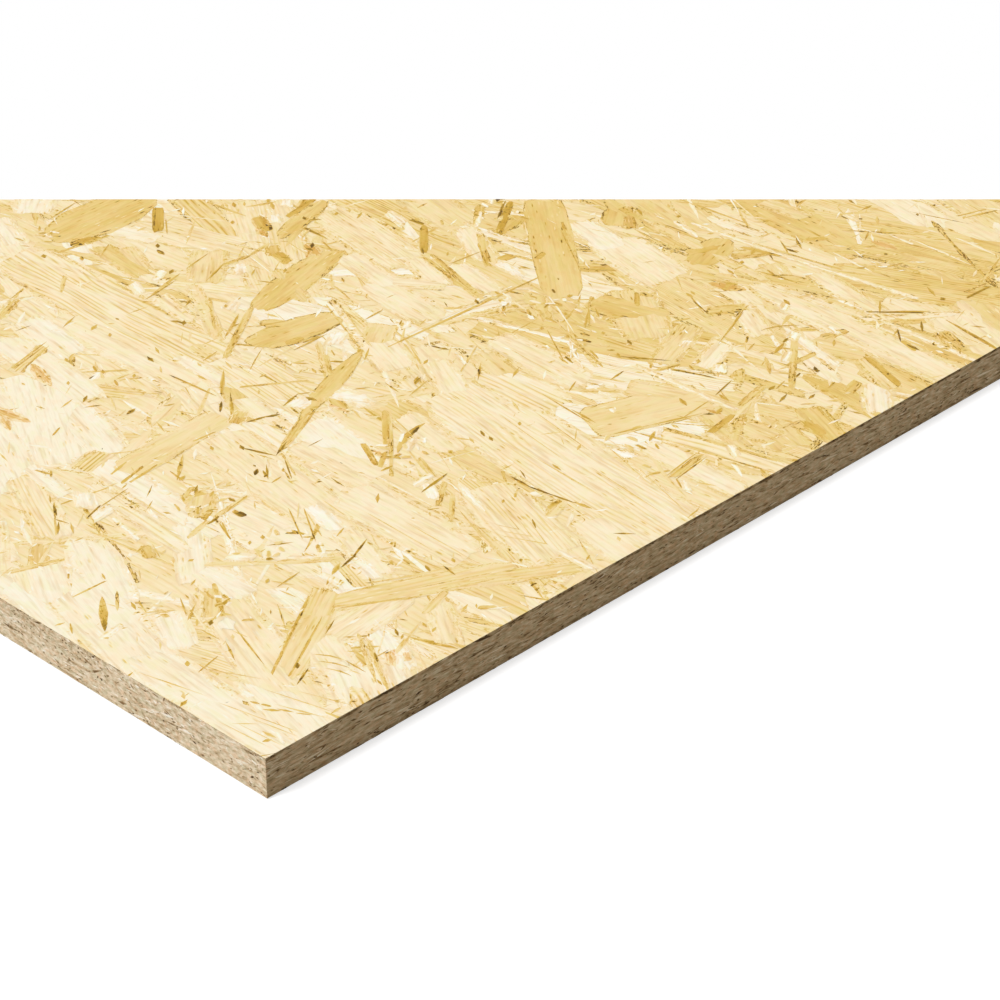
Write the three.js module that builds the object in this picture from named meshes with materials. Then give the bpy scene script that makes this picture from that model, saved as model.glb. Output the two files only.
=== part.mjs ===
// A full sheet of oriented strand board, square edged, lying flat. Sizes are in millimetres.
//
// The board is pressed in one piece from resin-coated softwood strands and then sawn to size, so it
// is one solid: the strands of its faces and its core have no surface of their own inside it.
// X runs along the sheet, the way most strands in its two faces lie. Y runs across it and Z up
// through its thickness. The origin is the middle of the underside.
import * as THREE from "three";

const LENGTH = 2440; // the long side, along the face strands
const WIDTH = 1220;
const THICKNESS = 18;
const ARRIS = 0.3; // radius that sawing and handling leave on every edge of the two faces
const FACE_CORNER = 0.3; // radius of each corner of the flat faces, inside the arris
const ARC_SEGMENTS = 4; // flats that stand for each quarter turn

const STRAND_COLOUR = 0xf5e3b4; // pale spruce and pine with a thin film of resin
const STRAND_ROUGHNESS = 0.72;

/**
 * The sheet's outline from above: a rectangle with its four upright corners rounded.
 * The corner radius is that of the flat face plus the arris round it, so the arris keeps one width.
 */
function sheetOutline() {
  const radius = FACE_CORNER + ARRIS;
  const x = LENGTH / 2 - radius;
  const y = WIDTH / 2 - radius;
  const quarter = Math.PI / 2;
  const corners = [
    [x, -y],
    [x, y],
    [-x, y],
    [-x, -y],
  ];
  const outline = new THREE.Shape();
  corners.forEach(([cx, cy], i) => {
    outline.absarc(cx, cy, radius, (i - 1) * quarter, i * quarter, false);
  });
  outline.closePath();
  return outline;
}

/** The board as one extrusion of that outline, with its arrises as the extrusion's bevel. */
function boardGeometry() {
  return new THREE.ExtrudeGeometry(sheetOutline(), {
    depth: THICKNESS - 2 * ARRIS,
    steps: 1,
    curveSegments: ARC_SEGMENTS,
    bevelEnabled: true,
    bevelThickness: ARRIS,
    bevelSize: ARRIS,
    bevelOffset: -ARRIS, // the bevel cuts into the outline, so the sheet keeps its length and width
    bevelSegments: ARC_SEGMENTS,
  });
}

function strandBoard() {
  return new THREE.MeshStandardMaterial({
    color: STRAND_COLOUR,
    roughness: STRAND_ROUGHNESS,
    metalness: 0,
  });
}

const board = new THREE.Mesh(boardGeometry(), strandBoard());
board.name = "osb_board";
board.position.z = ARRIS; // the extrusion starts above its lower bevel

const sheet = new THREE.Group();
sheet.add(board);

export default sheet;
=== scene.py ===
"""A full sheet of oriented strand board, lying flat and dressed strand by strand.

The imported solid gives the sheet's size and place. Each of its six sides gets a bed of fines with real
strands laid over it: broad wafers, narrow shavings, splinters and fines on the two pressed faces, and
the cut ends and sides of the same strands on the four sawn edges. A strand is a thin plate on its
side's plane, sawn off where the sheet ends. Lengths are millimetres on a side and metres in Blender.
"""

import logging
import math
from dataclasses import dataclass, fields, replace
from enum import Enum
from functools import reduce
from typing import Callable

import bpy
import numpy as np
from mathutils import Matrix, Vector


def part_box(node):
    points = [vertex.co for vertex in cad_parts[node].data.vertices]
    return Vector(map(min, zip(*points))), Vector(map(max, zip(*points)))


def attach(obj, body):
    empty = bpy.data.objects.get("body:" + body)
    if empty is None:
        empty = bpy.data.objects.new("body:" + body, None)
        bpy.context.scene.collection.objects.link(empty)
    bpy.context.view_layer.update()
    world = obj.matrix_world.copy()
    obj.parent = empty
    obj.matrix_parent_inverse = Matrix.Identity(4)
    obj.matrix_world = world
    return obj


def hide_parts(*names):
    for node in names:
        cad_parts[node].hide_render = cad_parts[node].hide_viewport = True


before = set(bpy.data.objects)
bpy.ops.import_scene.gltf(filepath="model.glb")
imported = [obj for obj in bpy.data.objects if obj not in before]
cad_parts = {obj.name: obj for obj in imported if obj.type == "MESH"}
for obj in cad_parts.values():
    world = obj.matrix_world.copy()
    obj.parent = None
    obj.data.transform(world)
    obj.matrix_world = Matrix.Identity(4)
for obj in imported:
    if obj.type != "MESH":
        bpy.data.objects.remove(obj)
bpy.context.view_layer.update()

log = logging.getLogger("sheet")

MM = 0.001
SEED = 1847
BOARD_NODE = "osb_board"
BODY = "root"
BAKE_MAP = "OFBake"
TILES = (4, 2)  # pieces that the faces are meshed in, along the sheet and across it

# The columns of a plate's points, three numbers each: the place along, up and out of its side; the
# place along and across the grain, with the strand's seed; its half length, half width and amber; its
# tone, ring strength and ring pitch; its rim line, its fray and the tone that the rim fades to.
PLACE, GRAIN, SPAN, LOOK, RIM = slice(0, 3), slice(3, 6), slice(6, 9), slice(9, 12), slice(12, 15)
OUT = 2  # the column for how far out of the side's plane
ROW_WIDTH, ROW_BOW = 4, 5  # the columns of a laid strand's row that follow its two ends

# Lengths below are millimetres.
FACE_BED, EDGE_BED = 0.22, 0.12  # depth of the bed under a side's plane
INSET = 0.1  # how far inside the sheet's edges the faces' strands end
LAID_LEVELS = (0.1, 0.012)  # depth of the first and the last laid strand under the face
RIM_DIP = 0.03  # how far a strand's rim lies under its middle
BROAD_WIDTH = 6.0  # a laid strand over this width gets the broad mesh
SLIM_WIDTH = 2.2  # a laid strand under this width has wavy sides
JAG_LENGTH = 40.0  # the ends of a strand shorter than this are torn less deep
JAG_ROWS = 6  # tears drawn for each end; a plate uses one for each of its rows
LEAN_POWER, TORN_POWER = 4, 8  # how late towards an end its slant and its tears set in
SIDE_WAVES = 9.0  # how far a strand's wavy sides turn from end to end, in radians
WELD_STEPS = 1e4  # corners of one strand are one point if they agree to this share of a millimetre
WELD_TONES = 20.0  # and their tones to this share
KEY_STEPS = (40_000_003, 1_000_003, 1_000_003)  # odd factors that keep the keys of places apart
KEY_TONES = 4  # tones that a key tells apart
TOP_FACING = 0.3  # a triangle tilted less than this cosine is a strand's top

FACE_DRIFT = 0.2  # how much darker the faces' light wood is inwards
DRIFT_TONE, DRIFT_SPAN = 0.3, 0.35  # the tone that drifts most, and how far from it none does
SAWN_TONE = 0.36  # how much darker a strand is where the saw went through it
GROUND_TONE = 0.31  # what a frayed rim fades to at the side's first edge
EDGE_BED_TONE = 0.43  # tone of the bed of the sawn edges
BED_SEED, BED_REACH = 7.0, 1e4  # the bed's seed, and a half size that leaves it without a rim
BED_RING, BED_PITCH = 0.3, 3.0
UNDERSIDE_SHARE = 0.3  # strands on the underside for each one on the top


class Tone(Enum):
    """How dark a piece of wood is, on the scale of the finishes' colour ramps."""

    BLEACHED = 0.1
    CREAM = 0.19
    PALE = 0.3
    STRAW = 0.45
    HONEY = 0.58
    GOLD = 0.7
    TAN = 0.78
    BROWN = 0.91
    KNOT = 0.98


class Cut(Enum):
    """The outlines that flaking and pressing leave: end width, belly, end slant, ragged ends in mm."""

    WAFER = (0.86, 6.0, 0.25, 4.0)
    SQUARE = (0.97, 8.0, 0.1, 1.2)
    STRIP = (0.8, 5.0, 0.5, 2.5)
    LEAF = (0.12, 2.2, 0.0, 0.6)
    SPLINTER = (0.1, 1.7, 0.0, 0.4)
    FLAKE = (0.85, 9.0, 0.8, 3.0)
    TONGUE = (0.5, 2.8, 0.5, 3.0)

    @property
    def tip(self) -> float:
        """The width at an end as a share of the middle's."""
        return self.value[0]

    @property
    def belly(self) -> float:
        """How late the sides start to close in: 2 is an oval, 8 nearly a box."""
        return self.value[1]

    @property
    def slant(self) -> float:
        """How far an end leans over, as a share of the width."""
        return self.value[2]

    @property
    def ragged(self) -> float:
        """How deep the ends are torn, in millimetres."""
        return self.value[3]


@dataclass(frozen=True)
class Form:
    """How finely one plate is meshed."""

    stations: int  # lines of points across the strand, from end to end
    rows: int  # points in each


BROAD = Form(stations=6, rows=5)
NARROW = Form(stations=5, rows=3)
TINY = Form(stations=3, rows=3)


@dataclass(frozen=True)
class Kind:
    """One size class of strand, as it is scattered over a side."""

    form: Form
    cut: Cut
    per_m2: float  # how many lie on a square metre
    length: tuple[float, float]  # the shortest and the longest, in millimetres
    width: tuple[float, float]  # the slimmest and the widest
    spread: float  # standard deviation of the lie from the side's first axis, in degrees
    stray: float  # share of strands that lie anyhow
    tones: tuple[tuple[float, float, float], ...]  # share, middle and spread of each tone
    edge: tuple[float, float]  # strength of the dark line round the rim: the gap there and painted shadow of the strand's edge
    levels: tuple[float, float]  # depth of the top under the side's plane, in millimetres
    ring: tuple[float, float] = (0.0, 0.3)  # strength of the growth-ring lines
    fray: float = 0.8  # how far the rim loses itself in the wood round it
    bow: float = 0.01  # standard deviation of the bow as a share of the length


@dataclass(frozen=True)
class Lay:
    """Strands laid one by one on the top face that share a tone, an outline and a finish.

    Each row is (across, back, across, back, width) and at most a bow: the two ends of the strand's
    middle line in millimetres from the sheet's near corner, across along the end edge and back along
    the long edge, then its width in millimetres and its bow as a share of its length.
    """

    tone: Tone
    cut: Cut
    rows: tuple[tuple[float, ...], ...]
    ring: float = 0.15  # strength of the growth-ring lines
    pitch: float = 2.6  # millimetres between them
    edge: float = 0.25  # strength of the dark line round the rim: the gap there and painted shadow of the strand's edge
    fray: float = 0.85  # how far the rim loses itself in the wood round it
    amber: float = 0.0  # how orange the wood is


@dataclass(frozen=True)
class Heap:
    """A heap of crumbs on the top face: its middle from the near corner, its spread and how many."""

    across: float
    back: float
    reach: float
    count: int


@dataclass(frozen=True)
class Spread:
    """How far single strands depart from their outline and finish."""

    tip: tuple[float, float] = (0.6, 1.05)  # share of the outline's end width
    belly: tuple[float, float] = (0.7, 1.4)  # share of the outline's belly
    slant: float = 1.5  # share of the outline's end slant, either way
    laid_slant: float = 1.2  # the same for a laid strand
    wobble: float = 0.06  # how far the sides swell and shrink at most, as a share of the width
    slim_wobble: float = 0.4  # how much more a slim laid strand's may
    pitch: tuple[float, float] = (1.3, 3.6)  # millimetres between growth rings
    laid_pitch: tuple[float, float] = (0.85, 1.15)  # share of a laid strand's pitch
    laid_tone: float = 0.02  # how far a laid strand's tone departs, either way
    seed: float = 900.0  # seeds run from 0 to this


SPREAD = Spread()


@dataclass
class Strands:
    """Many strands as parallel arrays, one entry a strand, in millimetres on their side's plane."""

    centre: np.ndarray
    angle: np.ndarray
    length: np.ndarray
    width: np.ndarray
    tips: np.ndarray
    belly: np.ndarray
    slants: np.ndarray
    jag: np.ndarray
    bow: np.ndarray
    wobble: np.ndarray
    tone: np.ndarray
    ring: np.ndarray
    pitch: np.ndarray
    edge: np.ndarray
    fray: np.ndarray
    ground: np.ndarray
    amber: np.ndarray
    level: np.ndarray
    seed: np.ndarray
    rank: np.ndarray

    def pick(self, chosen: np.ndarray) -> "Strands":
        """The strands of a mask or an index array."""
        return Strands(**{f.name: getattr(self, f.name)[chosen] for f in fields(self)})

    def near(self, low: np.ndarray, high: np.ndarray) -> "Strands":
        """The strands that may reach into a rectangle.

        Args:
            low: The rectangle's lowest corner.
            high: Its highest corner.

        Returns:
            Those whose middle lies within half a length and a width of it.
        """
        reach = (self.length / 2 + self.width)[:, None]
        inside = (self.centre > low - reach) & (self.centre < high + reach)
        return self.pick(inside.all(1))


Stops = tuple[tuple[float, tuple[int, int, int]], ...]  # places on a ramp, with display colours


def srgb(red: float, green: float, blue: float) -> tuple[float, float, float, float]:
    """The linear colour of 0 to 255 display values: v/12.92 when dark, else ((v + 0.055)/1.055)^2.4."""
    parts = [v / 255 for v in (red, green, blue)]
    return (*(v / 12.92 if v <= 0.04045 else ((v + 0.055) / 1.055) ** 2.4 for v in parts), 1.0)


def drawn_tones(kind: Kind, count: int, rng: np.random.Generator) -> np.ndarray:
    """Draws tones: one of the kind's bands by its share, then a normal spread inside it.

    Args:
        kind: The size class.
        count: How many tones.
        rng: The random source.

    Returns:
        A tone for each strand.
    """
    share, middle, spread = np.array(kind.tones).T
    band = rng.choice(len(share), count, p=share / share.sum())
    return middle[band] + spread[band] * rng.standard_normal(count)


def of_kind(kind: Kind, centre: np.ndarray, rng: np.random.Generator) -> Strands:
    """Makes one strand of a kind at each of the given places.

    The lie is normal about the side's first axis, or any angle for the strays. The logarithms of
    lengths and widths are uniform between their limits, and strong growth rings are rarer than weak
    ones.

    Args:
        kind: The size class.
        centre: The strands' middles in millimetres.
        rng: The random source.

    Returns:
        The strands.
    """
    count = len(centre)
    angle = np.radians(kind.spread) * rng.standard_normal(count)
    strays = rng.random(count) < kind.stray
    angle[strays] = rng.uniform(-np.pi / 2, np.pi / 2, strays.sum())
    angle += np.pi * rng.integers(0, 2, count)

    def between(low: float, high: float) -> np.ndarray:
        """One size a strand, with evenly spread logarithms."""
        return low * (high / low) ** rng.random(count)

    return Strands(
        centre=centre,
        angle=angle,
        length=between(*kind.length),
        width=between(*kind.width),
        tips=kind.cut.tip * rng.uniform(*SPREAD.tip, (count, 2)),
        belly=kind.cut.belly * rng.uniform(*SPREAD.belly, count),
        slants=kind.cut.slant * rng.uniform(-SPREAD.slant, SPREAD.slant, (count, 2)),
        jag=rng.random((count, 2, JAG_ROWS)) * kind.cut.ragged,
        bow=kind.bow * rng.standard_normal(count),
        wobble=rng.uniform(0.0, SPREAD.wobble, count),
        tone=drawn_tones(kind, count, rng),
        ring=kind.ring[0] + (kind.ring[1] - kind.ring[0]) * rng.random(count) ** 2,
        pitch=rng.uniform(*SPREAD.pitch, count),
        edge=rng.uniform(*kind.edge, count),
        fray=np.full(count, kind.fray),
        ground=np.full(count, GROUND_TONE),
        amber=np.zeros(count),
        level=rng.uniform(*kind.levels, count),
        seed=rng.uniform(0, SPREAD.seed, count),
        rank=np.zeros(count, int),
    )


def scattered(kind: Kind, size: tuple[float, float], rng: np.random.Generator) -> Strands:
    """Scatters one kind of strand evenly over a side and a half length beyond it.

    Args:
        kind: The size class.
        size: The side's two sizes in millimetres.
        rng: The random source.

    Returns:
        The strands.
    """
    margin = kind.length[1] / 2
    count = int((size[0] + 2 * margin) * (size[1] + 2 * margin) * MM * MM * kind.per_m2)
    centre = rng.uniform((-margin, -margin), (size[0] + margin, size[1] + margin), (count, 2))
    return of_kind(kind, centre, rng)


def heaped(
    kind: Kind, heaps: tuple[Heap, ...], size: tuple[float, float], rng: np.random.Generator
) -> Strands:
    """Drops a kind's strands in heaps: their middles are normal about each heap's own.

    Args:
        kind: The size class.
        heaps: The heaps.
        size: The face's length and width in millimetres.
        rng: The random source.

    Returns:
        The strands on the face's plane, whose first corner is the far left one.
    """
    spots = np.array([(size[0] - h.back, h.across, h.reach) for h in heaps for _ in range(h.count)])
    centre = spots[:, :2] + spots[:, 2:] * rng.standard_normal((len(spots), 2))
    return of_kind(kind, centre, rng)


def laid_strands(lays: tuple[Lay, ...], size: tuple[float, float], rng: np.random.Generator) -> Strands:
    """Turns the laid strands into arrays, each a little higher than the one before it.

    Args:
        lays: The strands, lowest first.
        size: The face's length and width in millimetres.
        rng: The random source.

    Returns:
        The strands on the face's plane, whose first corner is the far left one.
    """
    pairs = [(lay, row) for lay in lays for row in lay.rows]
    count = len(pairs)
    rows = np.array([row[:ROW_BOW] for _, row in pairs], float)
    points = np.stack([size[0] - rows[:, (1, 3)], rows[:, (0, 2)]], -1)
    run = points[:, 1] - points[:, 0]

    def each(read: Callable[[Lay], float]) -> np.ndarray:
        """One of the lays' numbers, for each of its strands."""
        return np.array([read(lay) for lay, _ in pairs], float)

    return Strands(
        centre=points.mean(1),
        angle=np.arctan2(run[:, 1], run[:, 0]),
        length=np.hypot(run[:, 0], run[:, 1]),
        width=rows[:, ROW_WIDTH],
        tips=each(lambda lay: lay.cut.tip)[:, None] * rng.uniform(*SPREAD.tip, (count, 2)),
        belly=each(lambda lay: lay.cut.belly),
        slants=each(lambda lay: lay.cut.slant)[:, None]
        * rng.uniform(-SPREAD.laid_slant, SPREAD.laid_slant, (count, 2)),
        jag=rng.random((count, 2, JAG_ROWS)) * each(lambda lay: lay.cut.ragged)[:, None, None],
        bow=np.array([row[ROW_BOW] if len(row) > ROW_BOW else 0.0 for _, row in pairs]),
        wobble=rng.uniform(0.0, SPREAD.wobble, count)
        + rng.uniform(0.0, SPREAD.slim_wobble, count) * (rows[:, ROW_WIDTH] < SLIM_WIDTH),
        tone=each(lambda lay: lay.tone.value)
        + rng.uniform(-SPREAD.laid_tone, SPREAD.laid_tone, count),
        ring=each(lambda lay: lay.ring),
        pitch=each(lambda lay: lay.pitch) * rng.uniform(*SPREAD.laid_pitch, count),
        edge=each(lambda lay: lay.edge),
        fray=each(lambda lay: lay.fray),
        ground=np.full(count, GROUND_TONE),
        amber=each(lambda lay: lay.amber),
        level=np.linspace(*LAID_LEVELS, count),
        seed=rng.uniform(0, SPREAD.seed, count),
        rank=np.zeros(count, int),
    )


def plate_faces(form: Form) -> np.ndarray:
    """The triangles of one plate.

    The plate's points are a grid of stations by rows, counted along the rows first. Each cell gives
    two triangles.

    Args:
        form: The plate's mesh.

    Returns:
        Three points' numbers for each triangle.
    """
    grid = np.arange(form.stations * form.rows).reshape(form.stations, form.rows)
    low, far = grid[:-1, :-1].ravel(), grid[1:, 1:].ravel()
    ahead, beside = grid[1:, :-1].ravel(), grid[:-1, 1:].ravel()
    return np.concatenate([np.stack([low, ahead, far], 1), np.stack([low, far, beside], 1)])


@dataclass
class Plates:
    """Loose triangles of many strands on one side of the sheet.

    corners holds fifteen numbers for each corner of each triangle: its place on the side (along, up,
    out), then the grain, span, look and rim that the finish reads. owner is the rank of its strand.
    """

    corners: np.ndarray
    owner: np.ndarray

    @staticmethod
    def of(strands: Strands, form: Form) -> "Plates":
        """Builds every strand of one form.

        Formula: with run from 0 to 1 along the strand, in steps that shorten towards both ends,
        end = |2 run - 1| and t from -1 to 1 across, the half width is
        width/2 * (1 - (1 - tip) * end^belly) * (1 + wobble * sin(waves * run + seed)), the middle line
        bends aside by bow * length * (1 - end^2), and the ends move by slant * end^lean * t * half width
        and by end^torn of the tears. The rim lies deeper by dip * max(end, |t|)^2.

        Args:
            strands: The strands.
            form: Their mesh.

        Returns:
            Their triangles.
        """
        run = 0.5 - 0.5 * np.cos(np.pi * np.arange(form.stations) / (form.stations - 1))
        t = np.linspace(-1, 1, form.rows)
        end, first = np.abs(2 * run - 1), run < 0.5
        length, seed = strands.length[:, None], strands.seed[:, None]
        tip = np.where(first, strands.tips[:, :1], strands.tips[:, 1:])
        half = strands.width[:, None] / 2 * (1 - (1 - tip) * end ** strands.belly[:, None])
        half = half * (1 + strands.wobble[:, None] * np.sin(SIDE_WAVES * run + seed))
        lean = np.where(first, -strands.slants[:, :1], strands.slants[:, 1:]) * end**LEAN_POWER
        tears = strands.jag[:, :, : form.rows]
        torn = np.where(first[:, None], tears[:, :1], -tears[:, 1:])
        torn = torn * (end**TORN_POWER)[:, None] * np.minimum(1, length / JAG_LENGTH)[:, :, None]
        across = half[:, :, None] * t
        along = (length * (run - 0.5))[:, :, None] + lean[:, :, None] * across + torn
        aside = across + (strands.bow[:, None] * length * (1 - end**2))[:, :, None]
        cos, sin = np.cos(strands.angle)[:, None, None], np.sin(strands.angle)[:, None, None]
        rim = np.maximum(end[:, None], np.abs(t)) ** 2
        points = np.empty((*along.shape, RIM.stop))
        points[..., 0] = strands.centre[:, 0, None, None] + along * cos - aside * sin
        points[..., 1] = strands.centre[:, 1, None, None] + along * sin + aside * cos
        points[..., OUT] = -strands.level[:, None, None] - RIM_DIP * rim
        points[..., GRAIN.start], points[..., GRAIN.start + 1] = along, across
        points[..., GRAIN.start + 2] = strands.seed[:, None, None]
        points[..., SPAN.start], points[..., SPAN.start + 1] = length[:, :, None] / 2, half[:, :, None]
        points[..., SPAN.start + 2] = strands.amber[:, None, None]
        for part, values in (
            (LOOK, (strands.tone, strands.ring, strands.pitch)),
            (RIM, (strands.edge, strands.fray, strands.ground)),
        ):
            points[..., part] = np.stack(values, 1)[:, None, None]
        points = points.reshape(len(points), form.stations * form.rows, RIM.stop)
        faces = plate_faces(form)
        corners = points[:, faces].reshape(-1, 3, RIM.stop)
        return Plates(corners, np.repeat(strands.rank, len(faces)))

    @staticmethod
    def joined(parts: list["Plates"]) -> "Plates":
        """Puts several sets together, the lowest strand first.

        Args:
            parts: The sets.

        Returns:
            All their plates.
        """
        owner = np.concatenate([p.owner for p in parts])
        order = np.argsort(owner, kind="stable")
        return Plates(np.concatenate([p.corners for p in parts])[order], owner[order])

    def sawn(self, axis: int, at: float, side: int, cap: float = 0.0) -> "Plates":
        """Cuts the plates along a line of their side and keeps what lies before it.

        Formula: a corner's distance inside the line is d = side * (at - place). A triangle that
        crosses is turned so that the corner alone on its side of the line comes first, and each cut
        point is that corner plus d0 / (d0 - dk) of the way to corner k.

        Args:
            axis: 0 for a line across the side's first axis, 1 for the second.
            at: Where the line is.
            side: 1 to keep what is lower, -1 what is higher.
            cap: Depth of the wall that closes each cut, or 0 for an open cut.

        Returns:
            What is left.
        """
        inside = side * (at - self.corners[:, :, axis])
        count = (inside >= 0).sum(1)
        whole = count == 3
        corners, owner = [self.corners[whole]], [self.owner[whole]]
        for kept in (1, 2):
            crossing = count == kept
            far, own = inside[crossing], self.owner[crossing]
            alone = ((far >= 0) == (kept == 1)).argmax(1)
            order = (alone[:, None] + np.arange(3)) % 3
            far = np.take_along_axis(far, order, 1)
            tri = np.take_along_axis(self.corners[crossing], order[:, :, None], 1)
            share = (far[:, :1] / (far[:, :1] - far[:, 1:]))[:, :, None]
            ends = tri[:, :1] + (tri[:, 1:] - tri[:, :1]) * share
            ends[:, :, axis] = at
            if kept == 1:
                corners.append(np.concatenate([tri[:, :1], ends], 1))
                owner.append(own)
                p, q = ends[:, 0], ends[:, 1]
            else:
                corners.append(np.stack([ends[:, 0], tri[:, 1], tri[:, 2]], 1))
                corners.append(np.stack([ends[:, 0], tri[:, 2], ends[:, 1]], 1))
                owner += [own, own]
                p, q = ends[:, 1], ends[:, 0]
            if cap:
                normal = np.cross(*(tri[:, k, PLACE] - tri[:, 0, PLACE] for k in (1, 2)))
                top = normal[:, OUT] > TOP_FACING * np.linalg.norm(normal, axis=1)
                p, q = p[top], q[top]
                p[:, LOOK.start] += SAWN_TONE
                q[:, LOOK.start] += SAWN_TONE
                under_p, under_q = p.copy(), q.copy()
                under_p[:, OUT], under_q[:, OUT] = -cap, -cap
                corners += [np.stack([p, under_p, under_q], 1), np.stack([p, under_q, q], 1)]
                owner += [own[top], own[top]]
        return Plates(np.concatenate(corners), np.concatenate(owner))

    def welded(self) -> tuple[np.ndarray, np.ndarray]:
        """Merges the corners of each strand that share a place and a tone.

        Formula: a corner's key is ((along * a + up) * b + out) * c + owner * tones + tone, all in whole
        steps. Corners with one key are one point.

        Returns:
            The points with their fifteen numbers, and the triangles, without those that closed up.
        """
        rows = self.corners.reshape(-1, RIM.stop)
        steps = np.round(rows[:, PLACE] * WELD_STEPS).astype(np.int64)
        tones = np.round(rows[:, LOOK.start] * WELD_TONES).astype(np.int64) % KEY_TONES
        key = np.zeros(len(rows), np.int64)
        for axis, factor in enumerate(KEY_STEPS):
            key = (key + steps[:, axis]) * factor
        key += np.repeat(self.owner, 3) * KEY_TONES + tones
        _, first, index = np.unique(key, return_index=True, return_inverse=True)
        faces = index.reshape(-1, 3)
        open_faces = (faces != np.roll(faces, 1, 1)).all(1)
        return rows[first], faces[open_faces]


@dataclass(frozen=True)
class Side:
    """One side of the sheet as a plane: its corner, its two axes and its outward normal, in metres."""

    name: str
    corner: tuple[float, float, float]
    along: tuple[float, float, float]
    up: tuple[float, float, float]
    size: tuple[float, float]  # millimetres along and up

    @property
    def out(self) -> np.ndarray:
        """The outward normal: along crossed with up."""
        return np.cross(self.along, self.up)

    def placed(self, places: np.ndarray) -> np.ndarray:
        """Takes places on the side (along, up, out) in millimetres to the sheet's frame in metres."""
        axes = np.array([self.along, self.up, self.out], float)
        return np.array(self.corner) + places @ axes * MM


def sides_of(low: np.ndarray, high: np.ndarray) -> dict[str, Side]:
    """The six sides of a sheet.

    Args:
        low: Its lowest corner, in metres.
        high: Its highest corner.

    Returns:
        Each side by name.
    """
    length, width, thickness = (high - low) / MM
    (x0, y0, z0), (x1, y1, z1) = low, high
    right, back, up = (1, 0, 0), (0, 1, 0), (0, 0, 1)
    left, front = (-1, 0, 0), (0, -1, 0)
    rows = (
        ("top", (x0, y0, z1), right, back, (length, width)),
        ("underside", (x0, y1, z0), right, front, (length, width)),
        ("long_edge_front", (x0, y0, z0), right, up, (length, thickness)),
        ("end_edge_right", (x1, y0, z0), back, up, (width, thickness)),
        ("long_edge_back", (x1, y1, z0), left, up, (length, thickness)),
        ("end_edge_left", (x0, y1, z0), front, up, (width, thickness)),
    )
    return {name: Side(name, corner, a, b, size) for name, corner, a, b, size in rows}


@dataclass(frozen=True)
class Cloud:
    """Noise drawn out along the grain."""

    along: float  # waves in a millimetre along the grain
    across: float  # and across it
    detail: float = 2.0
    rough: float = 0.5
    scale: float = 1.0  # of the whole pattern, with the strand's seed


MIDDLE = 0.5  # what noise lies about
MIX_SHARE, MIX_FIRST, MIX_SECOND, MIX_COLOUR = 0, 6, 7, 2  # a colour mix's inputs, and its output


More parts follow.
